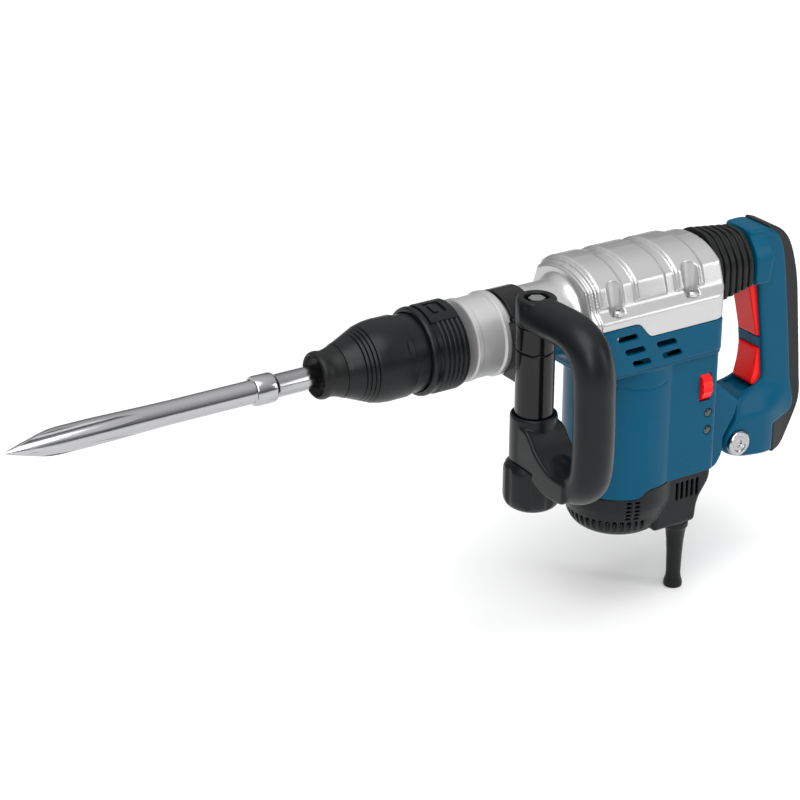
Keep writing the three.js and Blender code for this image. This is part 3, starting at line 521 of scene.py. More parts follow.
def dress_frame():
    """Give every CAD node its finish."""
    for name, obj in frame["nodes"].items():
        obj.data.materials.clear()
        obj.data.materials.append(MATERIALS[SLOT_OF[name]])
        smooth(obj)


# ---- chisel and tool holder ----------------------------------------------------------


def chisel():
    """Pointed chisel with four run-out flutes, a collar, lock recesses and drive grooves."""
    tip, end = low("chisel").x, high("chisel").x
    blank = turned("x", [
        (tip, 0), (tip, 1.2), (-340, 8.4), (-333, 9.7), (-326, 10.2), (-300, 10.2),
        (FLUTE_END, 9.4), (-240, 9), (-171.4, SHANK_RADIUS), (-170.6, 9.6), (-170.2, 11),
        (-169, CHISEL_COLLAR_RADIUS), (-155, CHISEL_COLLAR_RADIUS), (-153.6, 11),
        (-152.6, 9.8), (-151, SHANK_RADIUS), (end - 1.5, SHANK_RADIUS), (end, 7.5), (end, 0),
    ])
    tools = flutes()
    for side in (1, -1):
        tools.append(block((-77, -51), (-4.6, 4.6), on_side(side, 6.8, 12)))
        tools.append(block((-85, end + 1), on_side(side, 6.8, 12), (-3, 3)))
    return place(smooth(cut(blank, *tools)), "chisel_fine", "chisel", "polished_steel", "chisel")


def flutes():
    """Round bars that cut the flutes, a little steeper than the blade."""
    centre = FLUTE_END - FLUTE_LENGTH / 2 + 6
    height = 9.3 + FLUTE_RADIUS + FLUTE_SLOPE * (centre - FLUTE_END)
    tools = []
    for angle in around(FLUTES, math.pi / 4):
        groove = rod("x", FLUTE_RADIUS, centre - FLUTE_LENGTH / 2, centre + FLUTE_LENGTH / 2,
                     (0, 0, height), 40)
        turn(groove, "y", -math.atan(FLUTE_SLOPE), (centre, 0, height))
        tools.append(turn(groove, "x", angle, (0, 0, 0)))
    return tools


def dust_cap():
    """Rubber lip in front of the tool holder."""
    body = turned("x", [
        (-112, 9.5), (-112.6, 11), (-114, 14), (-116, 15), (-117.4, 15.6), (-118, 16.4),
        (-117.6, 17.4), (-116.4, 18.2), (-114.4, 18.6), (-112, 18.4), (-110.4, 17.9), (-108, 17.9),
        (-104, 18.6), (-99.6, 20), (-99, 20), (-99, HOLDER_RADIUS + JOIN_GAP),
        (-104.4, HOLDER_RADIUS + JOIN_GAP), (-104.4, 9.5),
    ])
    return place(smooth(body, 40), "dust_cap_fine", "tool_holder", "black_rubber", "dust_cap")


def locking_sleeve():
    """Ribbed sleeve that is pulled back to free the chisel, with shallow finger panels."""
    rings = []
    for i in range(SLEEVE_RIBS):
        x, r = -86.6 + i * 3, 25.2 + i * 1.25
        rings += [(x, r), (x + 0.7, r - 0.6), (x + 1.2, r + 0.5), (x + 2.2, r + 1)]
    outer = [
        (-98.7, 14.4), (-98.7, 20.4), (-98.2, 20.8), (-94, 22.2), (-88.4, 24.6), *rings,
        (-73.8, 30.2), (-72, 30.8), (-68, 31.6), (-62, 32.2), (-47, 32.2), (-45.6, 31.8),
        (-45, 31), (-24, 30.4),
    ]
    inner = [
        (-24, 27.5), (-65, 23), (-66, 14.4), (-71.5, 14.4), (-89.5, 20.7), (-90.2, 14.4),
    ]
    body = turned("x", [*outer, *inner])
    panel_outline = rounded([(-69, -11, 3), (-51, -12, 3), (-51, 12, 3), (-69, 11, 3)])
    panels = []
    for angle in around(SLEEVE_PANELS, math.radians(-62)):
        panel = prism("z", panel_outline, 31.4, 36)
        panels.append(turn(panel, "x", angle, (0, 0, 0)))
    cut(body, *panels)
    return place(smooth(body), "sleeve_fine", "locking_sleeve", "black_plastic", "locking_sleeve")


def coil(start, end, centre, coil_radius, wire, turns):
    """Coil spring along X between two places."""
    steps = turns * 36
    path = []
    for step in range(steps + 1):
        angle = 2 * math.pi * turns * step / steps
        along = start + wire + (end - start - 2 * wire) * step / steps
        path.append((along, centre.y + coil_radius * math.cos(angle),
                     centre.z + coil_radius * math.sin(angle)))
    return smooth(sweep(path, wire, 12))


def sleeve_spring():
    """Spring behind the locking sleeve, which shortens as the sleeve is pulled back."""
    start, end = low("sleeve_spring").x, high("sleeve_spring").x
    obj = coil(start + 1, end, Vector((0, 0, 0)), 17.4, 1.1, 5)
    place(obj, "sleeve_spring_fine", "tool_holder", "steel", "sleeve_spring")
    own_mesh(obj)
    return obj


def adjuster_ring():
    """Ribbed ring that sets the chisel angle, with a latch behind a window."""
    ribs = []
    for i in range(RING_RIBS):
        x = -22.6 + i * 4.2
        ribs += [(x, 33.8), (x + 0.7, 34.7), (x + 1.5, 35.2), (x + 2.4, 35.2), (x + 3.2, 34.7),
                 (x + 3.9, 33.8)]
    body = turned("x", [
        (-33, 31.6), (-33, 33), (-32.6, 34), (-31.6, 34.7), (-30, 35), (-28, 34.8), (-27, 34.2),
        (-26, 33.8), *ribs, (-1.2, 34.6), (-0.4, 33.8), (0, 32.6), (0, 14.3), (-12, 14.3),
        (-12, 31.6),
    ])
    pad = keep(rod("x", 35.6, -26.6, -1.6, segments=128),
               prism("x", [(-15, 25), (15, 25), (15, 40), (-15, 40)], -30, 0))
    window = prism("z", rounded([(-22, -8, 2), (-8, -8, 2), (-8, 8, 2), (-22, 8, 2)]), 33.8, 40)
    latch = prism("z", rounded([(-18.4, -6, 1), (-14, -6, 1), (-14, 6, 1), (-18.4, 6, 1)]), 30, 35)
    join(body, turn(pad, "x", LATCH_TURN, (0, 0, 0)))
    cut(body, turn(window, "x", LATCH_TURN, (0, 0, 0)))
    join(body, turn(latch, "x", LATCH_TURN, (0, 0, 0)))
    return place(smooth(body), "ring_fine", "adjuster_ring", "black_plastic", "adjuster_ring")


def neck_collar():
    """Bright collar between the adjuster ring and the gear housing."""
    body = turned("x", [
        (8, 16.3), (8, 31.4), (8.4, 32.4), (9.2, 33), (12.8, 33), (13.4, 32.6), (13.8, 32.1),
        (32.6, 32.4), (33.4, 33.4), (34.2, 34), (38.6, 34), (39.6, 33.6), (40, 32.8), (40, 16.3),
    ])
    return place(smooth(body), "collar_fine", "machine", "aluminium", "neck_collar")


# ---- housings ------------------------------------------------------------------------


def below_part_line(drop):
    """Everything below the joint of the two housings."""
    front, rear = PART_FRONT - drop, PART_REAR - drop
    shape = rounded([(30, front), (148, front, 4), (159, rear, 4), (260, rear), (260, -300),
                     (30, -300)])
    return prism("y", shape, -120, 120)


def nose(grow=0):
    """Round nose that the housings share below and above their joint."""
    return turned("x", [
        (70, 0), (70, 30.6 + grow), (96, 30.6 + grow), (100, 31.2 + grow), (104, 33 + grow),
        (108, 36 + grow), (112, 39 + grow), (118, 41.8 + grow), (126, 43.3 + grow), (126, 0),
    ])


def housing_section(grow=0.0):
    """Cross-section of the gear housing: arched top, sloping shoulders, upright sides."""
    half = [(0.5, HOUSING_RADIUS + grow), (12 + grow * 0.3, 42.6 + grow, 5),
            (22 + grow * 0.5, 39.9 + grow, 5),
            (30 + grow * 0.7, 35.8 + grow * 0.8, 5), (36.4 + grow, 31.2 + grow * 0.4, 2),
            (42 + grow, 14.5, 2), (HALF_WIDTH + grow, 7, 2), (HALF_WIDTH + grow, -30)]
    return rounded(mirrored(half))


def tapered_belt(start, end, height):
    """Raised pad round the top of the gear housing, with sloping ends."""
    body = join(
        prism("x", housing_section(height), start + 2.2, end - 2.2),
        prism("x", housing_section(height * 0.55), start + 0.8, end - 0.8),
    )
    return keep(body, prism("x", [(-46, 17.5), (46, 17.5), (46, 60), (-46, 60)], start, end))


def gear_housing():
    """Light metal housing of the hammer mechanism, hollow, with four screw pockets."""
    body = join(
        rod("x", NECK_RADIUS, 40.3, 71),
        nose(),
        prism("x", housing_section(-4), 106, HOUSING_REAR - 0.4),
        prism("x", housing_section(-2), 108, HOUSING_REAR - 1.4),
        prism("x", housing_section(0), 112, HOUSING_REAR - 3.6),
    )
    corners = rounded([(30, -60), (HOUSING_REAR, -HALF_WIDTH, 20), (HOUSING_REAR, HALF_WIDTH, 20),
                       (30, 60)], 10)
    keep(body, prism("z", corners, -80, 80))
    for start, end in BELTS:
        join(body, tapered_belt(start, end, BELT_HEIGHT))
    cut(body, below_part_line(0))
    bosses = [rod("z", 10.5, -14, 34, (screw.x, screw.y, 0)) for screw in SCREWS]
    room = cut(prism("x", housing_section(-WALL), 118, HOUSING_REAR - WALL), *bosses)
    cut(body, room, cut(nose(-WALL), block((0, 101), (-60, 60), (-60, 60))))
    join(body, rod("x", NECK_RADIUS, 40.3, 70), rod("x", CORE_RADIUS, 60, 101))
    cut(body, rod("x", CYLINDER_BORE, 30, 140))
    pockets = [
        turned("z", [(10, 0), (10, 6.4), (16, 7), (40, 11), (40, 0)], (screw.x, screw.y, 0), 40)
        for screw in SCREWS
    ]
    cut(body, *pockets)
    soften(body, 0.8, 4)
    return place(smooth(body, 60), "gear_housing_fine", "machine", "silver_paint", "gear_housing")


def motor_solid(grow=0.0):
    """Motor housing without its nose: wide shoulders over a round can with a square rear."""
    wide = HALF_WIDTH + grow
    plan = rounded([(108 - grow, -wide, 16), (HOUSING_REAR - 4 + grow, -wide, 10),
                    (HOUSING_REAR - 4 + grow, wide, 10), (108 - grow, wide, 16)], 8)
    box_wide = BOX_HALF_WIDTH + grow
    rear_plan = rounded([(MOTOR.x, -box_wide), (237.5 + grow, -box_wide, 6),
                         (237.5 + grow, box_wide, 6), (MOTOR.x, box_wide)])
    shoulder = rounded([(110, -wide + 2, 16), (HOUSING_REAR - 5, -wide + 2, 6),
                        (HOUSING_REAR - 5, wide - 2, 6), (110, wide - 2, 16)], 8)
    return join(
        prism("z", plan, -40 - grow * 0.8, 8),
        prism("z", shoulder, -44 - grow * 0.8, 8),
        rod("z", CAN_RADIUS + grow, -180, -30, (MOTOR.x, 0, 0), 128),
        prism("z", rear_plan, -180, -30),
    )


def above_cap_line(lift):
    """Everything above the joint of the motor housing and the end cap."""
    front, rear = CAP_LINE_FRONT + lift, CAP_LINE_REAR + lift
    shape = rounded([(60, front), (158, front, 3), (168, rear, 3), (260, rear), (260, 60),
                     (60, 60)])
    return prism("y", shape, -120, 120)


def motor_rooms(body):
    """Hollow the motor housing and give it the seats of the crank and the armature."""
    cut(body, motor_solid(-4), cut(nose(-WALL), block((0, 101.5), (-60, 60), (-60, 60))))
    seats = join(rod("z", 18, -41, -24.5, CRANK_AXIS), rod("z", 45, -36, -28, MOTOR_AXIS))
    cut(
        seats,
        rod("z", 15.4, -34.3, 0, CRANK_AXIS),
        rod("z", 8.8, -38.4, 0, CRANK_AXIS),
        rod("z", BEARING_SEAT, -40, -20, MOTOR_AXIS),
    )
    return join(body, keep(seats, motor_solid(-3)))


def hinge_lug():
    """Bracket behind the motor housing with the tongue that the rear handle hinges on."""
    shape = rounded([
        (234, -76), (249, -83, 5), (271, -102, 3), (268, -115, 4), (256.8, -133, 3),
        (256.8, -148, 4), (250, -159, 5), (237, -160), (237, -150), (234, -150),
    ])
    tongue = rounded([(240, -131), (275, -131, 8), (286, -143, 9), (275, -155, 8), (240, -155)])
    return join(chamfer(prism("y", shape, -30, 30), 3), prism("y", tongue, -7, 7))


def vent_hole(start, end, z, side):
    """Cooling slot with slanting round ends."""
    half, lean = 2.7, 3
    shape = rounded([(start, z + half, 2), (end, z + half, 2), (end + lean, z - half, 2),
                     (start + lean, z - half, 2)])
    return prism("y", shape, *on_side(side, HALF_WIDTH - 7, HALF_WIDTH + 6))


def moulding_band(side):
    """Curved band across one side of the motor can, below the vents."""
    upper = [(128, -52.5), (139, -55.8), (153, -58.6), (168, -59.4), (181, -57.6)]
    lower = [(x, z - 2.2) for x, z in reversed(upper)]
    return prism("y", upper + lower, *on_side(side, 30, 60))


def moulding_lines():
    """Thin strips of the can that are cut away along the curved band on both sides."""
    strips = keep(rod("z", CAN_RADIUS + 3, -70, -40, MOTOR_AXIS, 128),
                  join(moulding_band(1), moulding_band(-1)))
    return cut(strips, rod("z", CAN_RADIUS - 0.9, -80, -30, MOTOR_AXIS, 128))


def motor_openings():
    """Vents, seam grooves, speed wheel recess, seats of the lights and bore of the hinge."""
    tools = [vent_hole(*slot, side) for slot in VENTS for side in (1, -1)]
    seam = [(108, SEAM_TOP), (HOUSING_REAR, SEAM_TOP), (HOUSING_REAR, SEAM_BOTTOM),
            (108, SEAM_BOTTOM)]
    tools += [prism("y", seam, *on_side(side, 48, 55)) for side in (1, -1)]
    tools.append(keep(rod("x", 15.6, WHEEL.x - 5.4, WHEEL.x + 5.4, (0, WHEEL.y, WHEEL.z), 96),
                      block((200, 250), (-60, 0), (-100, -40))))
    for i in (1, 2):
        light = middle(f"indicator_light_{i}")
        tools.append(rod("y", 4, -60, -34, (light.x, 0, light.z), 32))
    tools.append(rod("y", TIGHT_HOLE, -60, 60, PIVOT_AXIS, 32))
    return tools


def motor_housing():
    """Plastic housing of the motor and the crank, hollow, with the hinge of the handle."""
    body = join(motor_solid(), nose())
    keep(body, below_part_line(JOIN_GAP))
    keep(body, above_cap_line(0))
    cut(body, rod("x", CORE_RADIUS + JOIN_GAP, 60, 103))
    motor_rooms(body)
    join(body, hinge_lug())
    cut(body, *motor_openings())
    cut(body, moulding_lines())
    soften(body, 0.8, 3)
    return place(smooth(body, 60), "motor_housing_fine", "machine", "blue_plastic", "motor_housing")


def cap_solid(grow=0.0):
    """End cap without its openings: a bowl under the can and a box under the square rear."""
    r = CAN_RADIUS + grow
    bottom = CAP_BOTTOM - grow
    bowl = turned("z", [
        (-120, 0), (-120, r - 0.4), (-166, r - 0.4), (-170, r - 0.8), (-174, r - 2),
        (-180, r - 4), (-186, r - 5.6), (-190, r - 7.6), (-192, r - 9), (bottom + 3, r - 10.6),
        (bottom + 0.6, r - 14), (bottom, r - 17), (bottom, 0),
    ], MOTOR_AXIS, 128)
    side = rounded([(190, -120), (237 + grow, -120), (237 + grow, -161, 6), (225 + grow, -178, 8),
                    (223 + grow, bottom, 4), (180, bottom)])
    return join(bowl, chamfer(prism("y", side, -40 - grow, 40 + grow), 3))


def cap_openings():
    """Cooling holes of the cap: a grid in front, slots in the sides and slits round the foot."""
    tools = []
    for column in range(2):
        for row in range(5):
            angle = math.radians(-114 + column * 9)
            z = -161.5 - row * 3.8
            hole = block((MOTOR.x + 40, MOTOR.x + 60), (-2.3, 2.3), (z - 1, z + 1))
            tools.append(turn(hole, "z", angle, MOTOR_AXIS))
    for i in range(5):
        x = 201 + i * 5.2
        for side in (1, -1):
            tools.append(block((x, x + 2.6), on_side(side, 35, 47), (-173, -157)))
    for i in range(CAP_SLITS):
        angle = math.radians(96 + i * 8)
        slit = block((MOTOR.x + CAN_RADIUS - 8, MOTOR.x + 60), (-1.5, 1.5), (-200, -180))
        tools.append(turn(slit, "z", angle, MOTOR_AXIS))
    return tools


def end_cap():
    """Cap that closes the motor below, with the lower bearing seat and the cable outlet."""
    body = cap_solid()
    cut(body, above_cap_line(-JOIN_GAP), cap_solid(-3.4))
    seat = rod("z", 17, -194, -163, MOTOR_AXIS)
    join(body, cut(seat, rod("z", BEARING_SEAT, -200, -160, MOTOR_AXIS)))
    cut(body, *cap_openings())
    join(body, rod("z", 11, -203, CAP_BOTTOM + 1, (CABLE.x - 4, CABLE.y, 0), 48))
    cut(body, rod("z", 5, -210, -190, CABLE_AXIS, 32))
    soften(body, 0.7, 2)
    return place(smooth(body, 60), "end_cap_fine", "machine", "black_plastic", "end_cap")


def cable_sleeve():
    """Rubber sleeve that keeps the cable from kinking."""
    body = turned("z", [
        (-266, 4.2), (-266, 7), (-265.4, 7.8), (-263.4, 8), (-261, 7.7), (-258.6, 6.9),
        (-256.4, 6.4), (-252, 6.2), (-235, 6.6), (-222, 7.4), (-214, 8.3), (-210.4, 8.9),
        (-209.2, 9.6), (-208.4, 10.2), (-207.4, 10.4), (-204, 10.4), (-203.3, 9.8),
        (-203.3, 4.7), (-193.5, 4.7), (-193.5, 4.2),
    ], CABLE_AXIS, 64)
    return place(smooth(body), "cable_sleeve_fine", "machine", "black_rubber", "cable_sleeve")


# ---- auxiliary handle ----------------------------------------------------------------


def clamp_band():
    """Split band round the neck with the ear that carries the post."""
    band = cut(rod("x", 33.2, 43, 66), rod("x", NECK_RADIUS + JOIN_GAP, 40, 70))
    ear = turned("z", [
        (-57, 0), (-57, 14.6), (-56, 15.2), (-26, 15.2), (24.6, 15.2), (24.6, 0),
    ], POST_AXIS, 64)
    bridge = prism("z", rounded([(37, -48), (63, -48), (63, -18), (37, -18)]), -27, 19)
    body = join(band, ear, bridge)
    low_side, high_side = [], []
    for i in range(9):
        x = 26 + i * 5
        z = 4.4 if i % 2 else 2.8
        low_side.append((x, z))
        high_side.insert(0, (x, z + 1.1))
    split = prism("y", low_side + high_side, -80, -25)
    cut(body, rod("x", NECK_RADIUS + JOIN_GAP, 20, 90), rod("x", 34.6, 20, 42),
        rod("z", BOLT_HOLE, -70, 40, POST_AXIS), split)
    soften(body, 0.5, 2)
    return place(smooth(body, 50), "clamp_fine", "clamp", "gloss_black", "clamp_band")


def aux_handle():
    """D-shaped grip: a loop from the head of the post round to the cuff at its foot."""
    path = spline([
        (POST.x, POST.y, 33), (POST.x, -80, 34.5), (POST.x, -104, 34), (POST.x, -120, 26),
        (POST.x, -127.6, 10), (POST.x, GRIP_Y, -10), (POST.x, GRIP_Y - 1, -40),
        (POST.x, GRIP_Y, -64), (POST.x, -125, -78), (POST.x, -114, -86), (POST.x, -98, -88),
        (POST.x, -76, -86),
    ])
    loop = sweep(path, GRIP_RADIUS, 48)
    widen(loop, lambda x, z: 1, 1.12, POST.x)
    head = turned("z", [(25, 0), (25, 15.6), (43, 16), (45.6, 15.4), (47, 14), (47, 0)], POST_AXIS)
    cuff = turned("z", [(-87, 0), (-87, 18.6), (-50.4, 18.6), (-49, 18), (-48.5, 17), (-48.5, 0)],
                  POST_AXIS)
    web = rounded([(POST.y, -54), (-69, -56, 5), (-82, -72, 10), (-100, -80, 6), (-118, -80),
                   (-118, -98, 6), (-92, -100, 6), (-78, -95), (POST.y, -87)])
    arm = chamfer(prism("x", web, POST.x - WEB_HALF_WIDTH, POST.x + WEB_HALF_WIDTH), 2)
    body = join(loop, head, cuff, arm)
    cut(
        body,
        rod("z", 9.4, 35.4, 60, POST_AXIS),
        rod("z", BOLT_HOLE, -100, 40, POST_AXIS),
        rod("z", 15.6, -57.6, 24.9, POST_AXIS),
        rod("z", 30, -140, -87.2, POST_AXIS),
    )
    soften(body, 0.9, 4)
    return place(smooth(body, 60), "aux_handle_fine", "aux_handle", "black_plastic", "aux_handle")


def clamp_knob():
    """Fluted knob that tightens the band from below."""
    body = turned("z", [
        (-128, 0), (-128, 15.5), (-127, 17.6), (-125, 20.4), (-122, 22.2), (-118, 23), (-96, 23),
        (-93, 22.4), (-90, 20), (-87.6, 17), (-87.6, 0),
    ], POST_AXIS)
    grooves = []
    for angle in around(KNOB_GROOVES):
        x = POST.x + KNOB_GROOVE_CIRCLE * math.cos(angle)
        y = POST.y + KNOB_GROOVE_CIRCLE * math.sin(angle)
        grooves.append(rod("z", 5.2, -140, -80, (x, y, 0), 40))
    cut(body, rod("z", TIGHT_HOLE, -121, -80, POST_AXIS), *grooves)
    soften(body, 0.7, 3)
    return place(smooth(body, 60), "knob_fine", "clamp_knob", "black_plastic", "clamp_knob")


# ---- rear handle ---------------------------------------------------------------------


def arch_section(inset=0.0):
    """Arched cross-section shared by the gaiter and the top plate of the handle."""
    wide, top = FLARE_HALF_WIDTH - inset, 40 - inset
    return rounded([(-wide, -5 + inset, 5), (wide, -5 + inset, 5), (wide - 0.5, 21 - inset, 9),
                    (13, top, 9), (-13, top, 9), (-wide + 0.5, 21 - inset, 9)])


def bellows():
    """Ribbed rubber gaiter between the gear housing and the rear handle."""
    start, end = low("bellows").x, high("bellows").x
    pitch = (end - start) / BELLOWS_FOLDS
    parts = []
    for i in range(BELLOWS_FOLDS):
        x = start + i * pitch
        spread = (BELLOWS_FOLDS - 1 - i) * 0.9
        parts.append(prism("x", arch_section(-spread), x, x + pitch * 0.56))
        parts.append(prism("x", arch_section(3 - spread), x + pitch * 0.5, x + pitch * 1.04))
    body = join(*parts)
    cut(body, prism("x", arch_section(6), start - 5, end + 5))
    keep(body, block((start, end), (-60, 60), (-60, 60)))
    soften(body, 0.6, 4, 0.5)
    smooth(body, 60)
    return cross_hinge(body, "bellows_fine", "black_rubber", "bellows")


def damper_spring():
    """Coil spring that holds the handle off the housing."""
    start, end = low("damper_spring").x, high("damper_spring").x
    spring = coil(start, end, middle("damper_spring"), 7, 1.1, 5)
    return cross_hinge(spring, "damper_spring_fine", "steel", "damper_spring")


def cross_hinge(obj, name, slot, node):
    """A piece that spans the hinge between the machine and the rear handle, dressed and left in its
    place without a body.
    """
    dress(obj, name, slot)
    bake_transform(obj)
    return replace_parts(obj, node)


def handle_outline():
    """Side view of the rear handle, from the top plate round the grip to the hinge."""
    return rounded([
        (HANDLE_FRONT, 40, 4), (303, 40.5, 10), (315, 33, 9), (322, 20, 12), (326.3, -3, 14),
        (333.4, -58, 20), (339.5, -110, 9), (343, -126, 6), (338, -134.6, 5), (316, -137.6),
        (316.4, -163), (297, -161.5, 8), (276, -158.5, 12), (262, -151, 9), (261, -137, 9),
        (271, -124, 7), (278, -108, 7), (298, -103, 7), (308, -97, 7), (303.5, -57),
        (296, -5, 5), (HANDLE_FRONT, -5),
    ])


def hinge_share(x, z):
    """How far the handle has spread to its full width round the hinge, from 0 to 1."""
    return ease(-z, 99, 126) * (1 - 0.85 * ease(x, 300, 345))


def handle_solid():
    """Rear handle in one piece, before it is opened and halved."""
    loop = chamfer(prism("y", handle_outline(), -GRIP_HALF_WIDTH, GRIP_HALF_WIDTH), 6, 4)
    side = rounded([(200, 60), (292, 60), (303, 25, 10), (297, -6), (200, -20)])
    plate = keep(prism("x", arch_section(), HANDLE_FRONT, 303), prism("y", side, -60, 60))
    body = soften(join(loop, chamfer(plate, 3)), 0.8, 5, 1)
    return widen(body, hinge_share, FLARE_HALF_WIDTH / GRIP_HALF_WIDTH, 0, 1)


def handle_shells():
    """Two halves of the rear handle, with the mouths of the trigger and the lock button."""
    body = handle_solid()
    inside = rounded([(305, 20, 4), (311, 20, 5), (319, 0, 6), (327, -58), (332, -104, 4),
                      (314, -112, 4), (308, -60)])
    trigger_mouth = rounded([(280, -2.6), (307.5, -2.6), (309.5, -60), (280, -60)])
    button_mouth = rounded([(288, -69), (316, -69), (317, -106.5), (288, -106.5)])
    tongue = rounded([(240, -126), (276, -126, 7), (291, -143, 11), (276, -164), (240, -164)])
    cut(
        body,
        prism("y", inside, -MOUTH_HALF_WIDTH, MOUTH_HALF_WIDTH),
        prism("x", arch_section(5), HANDLE_FRONT - 2, 297),
        prism("y", trigger_mouth, -MOUTH_HALF_WIDTH, MOUTH_HALF_WIDTH),
        prism("y", button_mouth, -MOUTH_HALF_WIDTH, MOUTH_HALF_WIDTH),
        prism("y", tongue, -7.6, 7.6),
        rod("y", BOLT_HOLE, -40, 40, PIVOT_AXIS, 32),
    )
    for name, side in (("left", -1), ("right", 1)):
        half = body.copy()
        half.data = body.data.copy()
        bpy.context.scene.collection.objects.link(half)
        keep(half, block((200, 400), on_side(side, 0.1, 60), (-200, 80)))
        place(smooth(half, 50), f"handle_{name}_fine", "rear_handle", "blue_plastic",
              f"handle_shell_{name}")
    bpy.data.objects.remove(body)


def soft_grip():
    """Rubber pad along the back of the rear handle."""
    shape = rounded([
        (303, 41.6, 4), (316, 37.5, 12), (327, 27, 14), (334, 10, 14), (339.5, -12, 14),
        (344.5, -58, 20), (350, -112, 18), (348.5, -128, 12), (341, -145, 12), (330, -163, 8),
        (317, -165.5), (316, -137.6), (330, -120), (325, -58), (318, -3), (310, 20),
    ])
    body = soften(chamfer(prism("y", shape, -15.8, 15.8), 5, 4), 0.8, 3, 1)
    widen(body, hinge_share, FLARE_HALF_WIDTH / GRIP_HALF_WIDTH, 0, 1)
    cut(body, handle_solid())
    return place(smooth(body, 60), "soft_grip_fine", "rear_handle", "grey_rubber", "soft_grip")


def trigger():
    """Switch trigger with a hollow front for the fingers."""
    shape = rounded([(288.5, -5.6, 4), (305, -5.6), (307, -58.5, 2), (301.5, -58.5, 2),
                     (295.5, -33, 30)], 10)
    body = chamfer(prism("y", shape, -TRIGGER_HALF_WIDTH, TRIGGER_HALF_WIDTH), 3, 4)
    soften(body, 0.5, 3)
    return place(smooth(body, 60), "trigger_fine", "trigger", "red_plastic", "trigger")


def lock_button():
    """Button below the trigger."""
    shape = rounded([(302.5, -69.8, 2), (309.5, -69.8), (311, -101, 2), (304, -104.5, 4),
                     (297.5, -101, 4), (301.5, -86, 12)], 8)
    body = chamfer(prism("y", shape, -TRIGGER_HALF_WIDTH, TRIGGER_HALF_WIDTH), 2.4, 4)
    soften(body, 0.5, 3)
    return place(smooth(body, 60), "lock_button_fine", "lock_button", "red_plastic", "lock_button")


def pivot_caps():
    """Recessed heads on both ends of the hinge bolt."""
    for name, side in (("left", -1), ("right", 1)):
        profile = [
            (28.4, 0), (28.4, 11.2), (30.2, 11.2), (31.2, 10.8), (32, 9.8), (32, 7.4),
            (31.6, 6.6), (31, 6), (31, 3.4), (30.6, 3), (29.6, 3), (29.6, 0),
        ]
        cap = turned("y", [(side * y, r) for y, r in profile], PIVOT_AXIS)
        place(smooth(cap), f"pivot_cap_{name}_fine", "machine", "polished_steel",
              f"pivot_cap_{name}")


# ---- stage ---------------------------------------------------------------------------

HORIZON_STRENGTH = 0.12              # light from the sides of the room
CEILING_STRENGTH = 1.0               # light from straight above
FLOOR_HALF_SIZE = 6                  # metres
FLOOR_COLOR = (0.93, 0.93, 0.93, 1)
WHITE = (1, 1, 1, 1)


def stage():
    """White floor in a room whose light comes mostly from above."""
    floor = bpy.data.meshes.new("floor")
    size = FLOOR_HALF_SIZE
    corners = [(-size, -size, 0), (size, -size, 0), (size, size, 0), (-size, size, 0)]
    floor.from_pydata(corners, [], [(0, 1, 2, 3)])
    obj = bpy.data.objects.new("floor", floor)
    bpy.context.scene.collection.objects.link(obj)
    material = bpy.data.materials.new("floor")
    material.use_nodes = True
    shader = material.node_tree.nodes["Principled BSDF"]
    shader.inputs["Base Color"].default_value = FLOOR_COLOR
    shader.inputs["Roughness"].default_value = 0.7
    floor.materials.append(material)

    world = bpy.data.worlds.new("studio")
    bpy.context.scene.world = world
    world.use_nodes = True
    nodes, links = world.node_tree.nodes, world.node_tree.links
    direction = nodes.new("ShaderNodeTexCoord")
    parts = nodes.new("ShaderNodeSeparateXYZ")
    rise = nodes.new("ShaderNodeMapRange")
    rise.inputs["From Min"].default_value = 0.1
    rise.inputs["From Max"].default_value = 0.9
    rise.inputs["To Min"].default_value = HORIZON_STRENGTH
    rise.inputs["To Max"].default_value = CEILING_STRENGTH
    links.new(direction.outputs["Generated"], parts.inputs["Vector"])
    links.new(parts.outputs["Z"], rise.inputs["Value"])
    links.new(rise.outputs["Result"], nodes["Background"].inputs["Strength"])
    nodes["Background"].inputs["Color"].default_value = WHITE
    bpy.context.scene.view_settings.view_transform = "Standard"


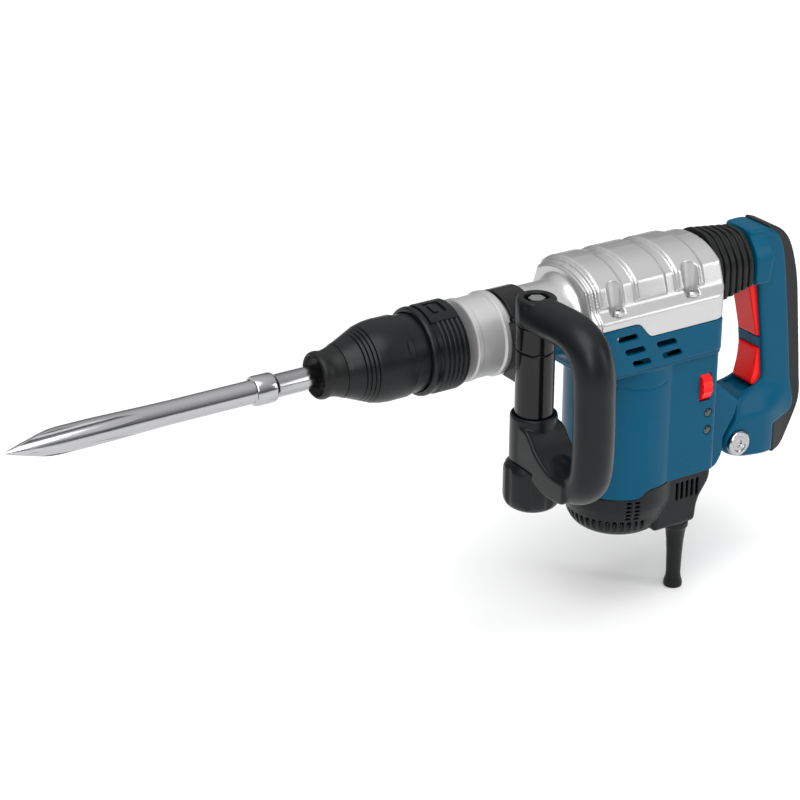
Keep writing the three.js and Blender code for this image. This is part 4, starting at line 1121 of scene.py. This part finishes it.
def area_light(name, where, target, size, power):
    """Rectangular lamp of so many watts, aimed at a point."""
    data = bpy.data.lights.new(name, "AREA")
    data.shape = "RECTANGLE"
    data.size, data.size_y = size
    data.energy = power
    obj = bpy.data.objects.new(name, data)
    obj.location = where
    obj.rotation_euler = (Vector(target) - Vector(where)).to_track_quat("-Z", "Y").to_euler()
    bpy.context.scene.collection.objects.link(obj)


def sun_light(name, aim, spread, power):
    """Even light from one direction, soft by its spread in degrees."""
    data = bpy.data.lights.new(name, "SUN")
    data.angle = math.radians(spread)
    data.energy = power
    obj = bpy.data.objects.new(name, data)
    obj.rotation_euler = Vector(aim).to_track_quat("-Z", "Y").to_euler()
    bpy.context.scene.collection.objects.link(obj)


def lights():
    sun_light("overhead", (0.25, 0.3, -1), 50, 1.9)
    area_light("key", (-0.7, -1.3, 1.1), (0.1, 0, 0.2), (0.5, 0.8), 8)
    area_light("side", (1.3, -1.2, 0.9), (0.2, 0, 0.2), (0.3, 1.0), 5)


CAMERA_PLACE = (-929.7, -1415.4, 727.8)       # millimetres about the tool axis
CAMERA_HEADING = 57.91                        # degrees from +X towards +Y
CAMERA_PITCH = 24.62                          # degrees downwards
CAMERA_LENS = 108                             # millimetres
SENSOR_WIDTH = 36


def camera():
    data = bpy.data.cameras.new("camera")
    data.lens = CAMERA_LENS
    data.sensor_width = SENSOR_WIDTH
    data.clip_start = 0.05
    obj = bpy.data.objects.new("camera", data)
    obj.location = AXIS + Vector(CAMERA_PLACE) * MM
    obj.rotation_euler = (math.radians(90 - CAMERA_PITCH), 0, math.radians(CAMERA_HEADING - 90))
    bpy.context.scene.collection.objects.link(obj)
    bpy.context.scene.camera = obj


camera()
stage()
lights()
dress_frame()
chisel()
dust_cap()
locking_sleeve()
sleeve_spring()
adjuster_ring()
neck_collar()
gear_housing()
motor_housing()
end_cap()
cable_sleeve()
clamp_band()
aux_handle()
clamp_knob()
handle_shells()
soft_grip()
trigger()
lock_button()
pivot_caps()
bellows()
damper_spring()
